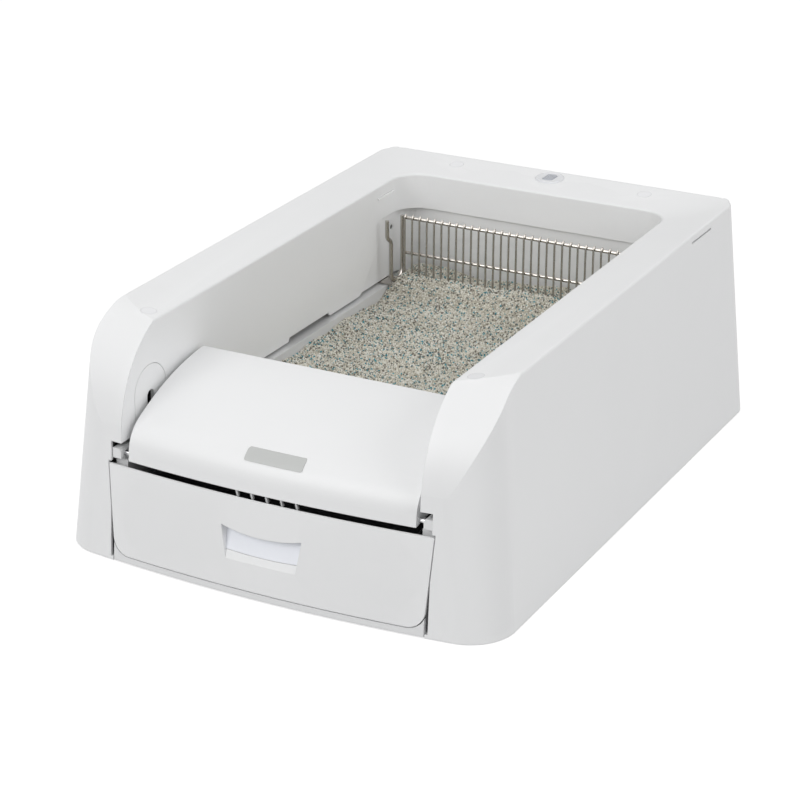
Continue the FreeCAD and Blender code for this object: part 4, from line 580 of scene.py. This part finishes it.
class LitterBed(SubAssembly):
    """The tray and its loose litter: a lumpy bed with a cover of separate granules."""

    TONE = "granule_tone"
    SEED = 41
    # painted shade: the body under the granules takes the mid granule tone, darker than the cream granules,
    # for the shade in the gaps
    GAP_SHADE_TONE = 0.55
    WAVES = 14
    WAVE_LENGTHS = (0.03, 0.14)
    WAVE_HEIGHTS = (0.3, 0.8)
    WAVE_STEEPNESS = 0.012
    WALL_GAP = 0.5 * MILLIMETRE
    FILL = 70.2 * MILLIMETRE
    HEAP = 20.0 * MILLIMETRE
    HEAP_RUN = 58.0 * MILLIMETRE
    BEHIND_TINES = 35.0 * MILLIMETRE
    PITCH = 1.8 * MILLIMETRE
    GRANULE = 1.06 * MILLIMETRE
    SPILL = 8.5 * MILLIMETRE
    SIDE_RUN = 0.012
    SIDE_HEAP = 0.62
    SIDE_DIP = 0.0015
    BODY_DEPTH = 12.0 * MILLIMETRE
    BODY_GRID = (54, 72)
    BODY_SINK = 0.95
    GRANULE_DROP = (-1.3, 0.6)
    CORNER_REACH = (0.72, 1.25)
    STRETCH = (0.75, 1.2)
    SIZES = (0.8, 1.25)

    def __init__(self) -> None:
        """Lists the pieces and takes the bed's place from the frame."""
        super().__init__("litter tray", {"litter_tray": TRAY, "rear_liner": LINER})
        self.body = "base"
        low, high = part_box("litter_bed")
        self.half_width = high.x - self.WALL_GAP
        self.front = low.y + self.WALL_GAP
        self.level = low.z + self.FILL
        self.tine_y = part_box("rake_tines")[0].y
        self.rear = self.tine_y + self.BEHIND_TINES
        self.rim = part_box("litter_tray")[1].z
        self.rng = np.random.default_rng(self.SEED)
        self.waves = self._pick_waves(self.WAVES)

    def _pick_waves(self, count: int) -> list[tuple[float, float, float, float]]:
        """Picks the slow waves that make the bed lumpy.

        Args:
            count: How many waves.

        Returns:
            For each, its height, its two wave numbers and its phase.
        """
        waves = []
        for _ in range(count):
            length = self.rng.uniform(*self.WAVE_LENGTHS)
            angle = self.rng.uniform(0.0, math.tau)
            height = self.rng.uniform(*self.WAVE_HEIGHTS) * length * self.WAVE_STEEPNESS
            number = math.tau / length
            phase = self.rng.uniform(0, math.tau)
            waves.append((height, number * math.cos(angle), number * math.sin(angle), phase))
        return waves

    def height(self, x: np.ndarray, y: np.ndarray) -> np.ndarray:
        """The bed's surface.

        Args:
            x: Places across the bed.
            y: Places along it.

        Returns:
            The surface's heights there.
        """
        share = np.clip((y - (self.tine_y - self.HEAP_RUN)) / self.HEAP_RUN, 0.0, 1.0)
        rise = self.HEAP * share * share * (3.0 - 2.0 * share)
        lumps = sum(h * np.sin(a * x + b * y + p) for h, a, b, p in self.waves)
        side = np.clip((self.half_width - np.abs(x)) / self.SIDE_RUN, 0.0, 1.0)
        heap = rise * (self.SIDE_HEAP + (1.0 - self.SIDE_HEAP) * side)
        return self.level + heap + lumps - self.SIDE_DIP * (1.0 - side)

    def build(self, shop: FinishShop) -> None:
        """Builds the litter and dresses it and the tray.

        Args:
            shop: The maker of the finishes.
        """
        self.dress(shop)
        bed = self._bed()
        granules = self._granules()
        for piece in (bed, granules):
            shop.dress(piece, LITTER)
            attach(piece, self.body)
            log.info("%s: %s with %d faces", self.title, piece.name, len(piece.data.polygons))
        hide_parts("litter_bed")

    def _mesh(self, name: str, points: np.ndarray, faces: np.ndarray, tones: np.ndarray) -> bpy.types.Object:
        """Makes a mesh object with a tone at each point.

        Args:
            name: The object's name.
            points: The vertices.
            faces: The faces as rows of vertex numbers.
            tones: The tone of each vertex.

        Returns:
            The new object.
        """
        mesh = bpy.data.meshes.new(name)
        mesh.from_pydata(points.tolist(), [], faces.tolist())
        mesh.attributes.new(self.TONE, "FLOAT", "POINT").data.foreach_set("value", tones.astype(np.float32))
        mesh.validate()
        mesh.update()
        piece = bpy.data.objects.new(name, mesh)
        bpy.context.scene.collection.objects.link(piece)
        return piece

    def _bed(self) -> bpy.types.Object:
        """The closed body of litter under the loose granules, darker than most of them as painted shade in
        the gaps.
        """
        across, along = self.BODY_GRID
        xs = np.linspace(-self.half_width, self.half_width, across)
        ys = np.linspace(self.front, self.rear, along)
        gx, gy = np.meshgrid(xs, ys)
        sunk = self.height(gx, gy) - self.BODY_SINK * self.GRANULE
        top = np.stack([gx, gy, sunk], axis=-1).reshape(-1, 3)
        low = top.copy()
        low[:, 2] = self.level - self.BODY_DEPTH
        count = len(top)
        faces = []
        for j in range(along - 1):
            for i in range(across - 1):
                a = j * across + i
                faces.append([a, a + 1, a + across + 1, a + across])
                faces.append([a + count + across, a + count + across + 1, a + count + 1, a + count])
        rim = [i for i in range(across)]
        rim += [j * across + across - 1 for j in range(1, along)]
        rim += [(along - 1) * across + i for i in range(across - 2, -1, -1)]
        rim += [j * across for j in range(along - 2, 0, -1)]
        for here, after in zip(rim, rim[1:] + rim[:1]):
            faces.append([after, here, here + count, after + count])
        points = np.concatenate([top, low])
        return self._mesh("litter_body", points, np.array(faces), np.full(len(points), self.GAP_SHADE_TONE))

    def _granules(self) -> bpy.types.Object:
        """The loose granules on the surface: small angular chips, each turned its own way."""
        reach = self.half_width + self.SPILL
        xs = np.arange(-reach, reach, self.PITCH)
        ys = np.arange(self.front + self.GRANULE, self.rear - self.GRANULE, self.PITCH)
        gx, gy = np.meshgrid(xs, ys)
        x = gx.ravel() + self.rng.uniform(-0.5, 0.5, gx.size) * self.PITCH
        y = gy.ravel() + self.rng.uniform(-0.5, 0.5, gx.size) * self.PITCH
        top = self.height(x, y)
        over = np.abs(x) > self.half_width - self.GRANULE
        kept = ~over | (top > self.rim + 0.5 * self.GRANULE)
        top = np.where(over, np.minimum(top, self.rim + 1.4 * self.GRANULE), top)
        x, y, top = x[kept], y[kept], top[kept]
        count = x.size
        z = top + self.rng.uniform(*self.GRANULE_DROP, count) * self.GRANULE
        corner = np.array([[i, j, k] for i in (-1, 1) for j in (-1, 1) for k in (-1, 1)], float)
        corner /= math.sqrt(3.0)
        chip = np.array([[0, 1, 3, 2], [4, 6, 7, 5], [0, 4, 5, 1], [2, 3, 7, 6], [0, 2, 6, 4], [1, 5, 7, 3]])
        shape = corner[None] * self.rng.uniform(*self.CORNER_REACH, (count, 8, 1))
        shape *= self.rng.uniform(*self.STRETCH, (count, 1, 3))
        quaternion = self.rng.normal(size=(count, 4))
        quaternion /= np.linalg.norm(quaternion, axis=1, keepdims=True)
        w, a, b, c = quaternion.T
        turn = np.stack([
            np.stack([1 - 2 * (b * b + c * c), 2 * (a * b - c * w), 2 * (a * c + b * w)], -1),
            np.stack([2 * (a * b + c * w), 1 - 2 * (a * a + c * c), 2 * (b * c - a * w)], -1),
            np.stack([2 * (a * c - b * w), 2 * (b * c + a * w), 1 - 2 * (a * a + b * b)], -1),
        ], 1)
        size = self.GRANULE * self.rng.uniform(*self.SIZES, (count, 1, 1))
        points = np.einsum("nij,nkj->nki", turn, shape) * size
        points += np.stack([x, y, z], -1)[:, None, :]
        faces = (chip[None] + 8 * np.arange(count)[:, None, None]).reshape(-1, 4)
        tones = np.repeat(self.rng.uniform(0.0, 1.0, count), 8)
        return self._mesh("litter_granules", points.reshape(-1, 3), faces, tones)


@dataclass
class Studio:
    """A pale floor, soft lamps and the camera at the photographed angle."""

    azimuth: float = 27.565
    elevation: float = 22.835
    roll: float = 0.278
    distance: float = 2.7013
    aim: tuple[float, float, float] = (0.0, 0.006, 0.120)
    slide_right: float = -0.02775
    slide_up: float = -0.0320
    lens: float = 110.455
    sky_level: float = 0.62
    mirror_low: float = 0.12
    mirror_high: float = 1.9
    mirror_top: float = 0.75
    floor_colour: Colour = (0.44, 0.44, 0.44)
    floor_lift: float = 0.72
    floor_reach: float = 14.0
    lamp_size: float = 1.8
    front_place: tuple[float, float, float] = (-1.1, -2.9, 1.9)
    front_power: float = 35.0
    right_place: tuple[float, float, float] = (2.6, -0.4, 1.6)
    right_power: float = 18.5

    def build(self) -> None:
        """Builds the floor, the sky, the lamps and the camera."""
        self._floor()
        self._sky()
        self._lamp("lamp_front", self.front_place, self.front_power)
        self._lamp("lamp_right", self.right_place, self.right_power)
        self._camera()
        log.info("studio is set")

    def _floor(self) -> None:
        """The floor, which shows white to the camera where nothing shades it."""
        mesh = bpy.data.meshes.new("studio_floor")
        reach = self.floor_reach
        corners = [(-reach, -reach, 0), (reach, -reach, 0), (reach, reach, 0), (-reach, reach, 0)]
        mesh.from_pydata(corners, [], [(0, 1, 2, 3)])
        floor = bpy.data.objects.new("studio_floor", mesh)
        bpy.context.scene.collection.objects.link(floor)
        material = bpy.data.materials.new("studio_floor")
        material.use_nodes = True
        sheet = Sheet(material.node_tree)
        shader = material.node_tree.nodes["Principled BSDF"]
        shader.inputs["Base Color"].default_value = (*self.floor_colour, 1.0)
        shader.inputs["Roughness"].default_value = 0.9
        shader.inputs["Specular IOR Level"].default_value = 0.1
        shader.inputs["Emission Color"].default_value = (1.0, 1.0, 1.0, 1.0)
        path = sheet.add("ShaderNodeLightPath")
        seen = sheet.math("MAXIMUM", path.outputs["Is Camera Ray"], path.outputs["Is Glossy Ray"])
        seen = sheet.math("MAXIMUM", seen, path.outputs["Is Transmission Ray"])
        sheet.link(sheet.math("MULTIPLY", seen, self.floor_lift), shader.inputs["Emission Strength"])
        mesh.materials.append(material)

    def _sky(self) -> None:
        """A sky that is white where seen, softer where it lights, and brighter upwards in mirrors."""
        world = bpy.data.worlds.new("studio_sky")
        world.use_nodes = True
        bpy.context.scene.world = world
        sheet = Sheet(world.node_tree)
        background = world.node_tree.nodes["Background"]
        background.inputs["Color"].default_value = (1.0, 1.0, 1.0, 1.0)
        path = sheet.add("ShaderNodeLightPath")
        seen = sheet.math("MAXIMUM", path.outputs["Is Camera Ray"], path.outputs["Is Transmission Ray"])
        direction = sheet.add("ShaderNodeTexCoord")
        axes = sheet.add("ShaderNodeSeparateXYZ")
        sheet.link(direction.outputs["Generated"], axes.inputs[0])
        climb = sheet.math("DIVIDE", axes.outputs["Z"], self.mirror_top)
        mirrored = sheet.spread(climb, self.mirror_low, self.mirror_high)
        glossy = path.outputs["Is Glossy Ray"]
        rest = sheet.math("SUBTRACT", 1.0, glossy)
        plain = sheet.math("MULTIPLY", rest, sheet.spread(seen, self.sky_level, 1.0))
        level = sheet.math("ADD", plain, sheet.math("MULTIPLY", glossy, mirrored))
        sheet.link(level, background.inputs["Strength"])

    def _lamp(self, name: str, place: tuple[float, float, float], power: float) -> None:
        """Adds a square lamp that looks at the object.

        Args:
            name: The lamp's name.
            place: Where it hangs.
            power: Its power in watts.
        """
        data = bpy.data.lights.new(name, "AREA")
        data.size = self.lamp_size
        data.energy = power
        lamp = bpy.data.objects.new(name, data)
        lamp.location = place
        lamp.rotation_euler = (Vector(self.aim) - Vector(place)).to_track_quat("-Z", "Y").to_euler()
        bpy.context.scene.collection.objects.link(lamp)

    def _camera(self) -> None:
        """Puts the camera where the photograph was taken from."""
        azimuth, elevation, roll = (math.radians(a) for a in (self.azimuth, self.elevation, self.roll))
        back = Vector((
            math.sin(azimuth) * math.cos(elevation),
            -math.cos(azimuth) * math.cos(elevation),
            math.sin(elevation),
        ))
        level = Vector((math.cos(azimuth), math.sin(azimuth), 0.0))
        tall = back.cross(level)
        right = level * math.cos(roll) + tall * math.sin(roll)
        up = back.cross(right)
        data = bpy.data.cameras.new("camera")
        data.lens = self.lens
        data.sensor_width = 36.0
        data.clip_end = 50.0
        camera = bpy.data.objects.new("camera", data)
        turn = Matrix((right, up, back)).transposed().to_4x4()
        spot = Vector(self.aim) + back * self.distance + right * self.slide_right + up * self.slide_up
        camera.matrix_world = Matrix.Translation(spot) @ turn
        bpy.context.scene.collection.objects.link(camera)
        bpy.context.scene.camera = camera


def main() -> None:
    """Builds the sub-assemblies in order, then the studio."""
    logging.basicConfig(level=logging.INFO, format="%(name)s: %(message)s")
    scene = bpy.context.scene
    scene.view_settings.view_transform = "Standard"
    shop = FinishShop()
    parts: list[SubAssembly] = [TopHousing(), StepLid(), WasteDrawer(), Base(), Drive(), Rake(), LitterBed()]
    for part in parts:
        part.build(shop)
    Studio().build()
    bpy.context.view_layer.update()
    log.info("pieces dressed: %d", sum(len(part.finishes) for part in parts))


if __name__ == "__main__":
    main()
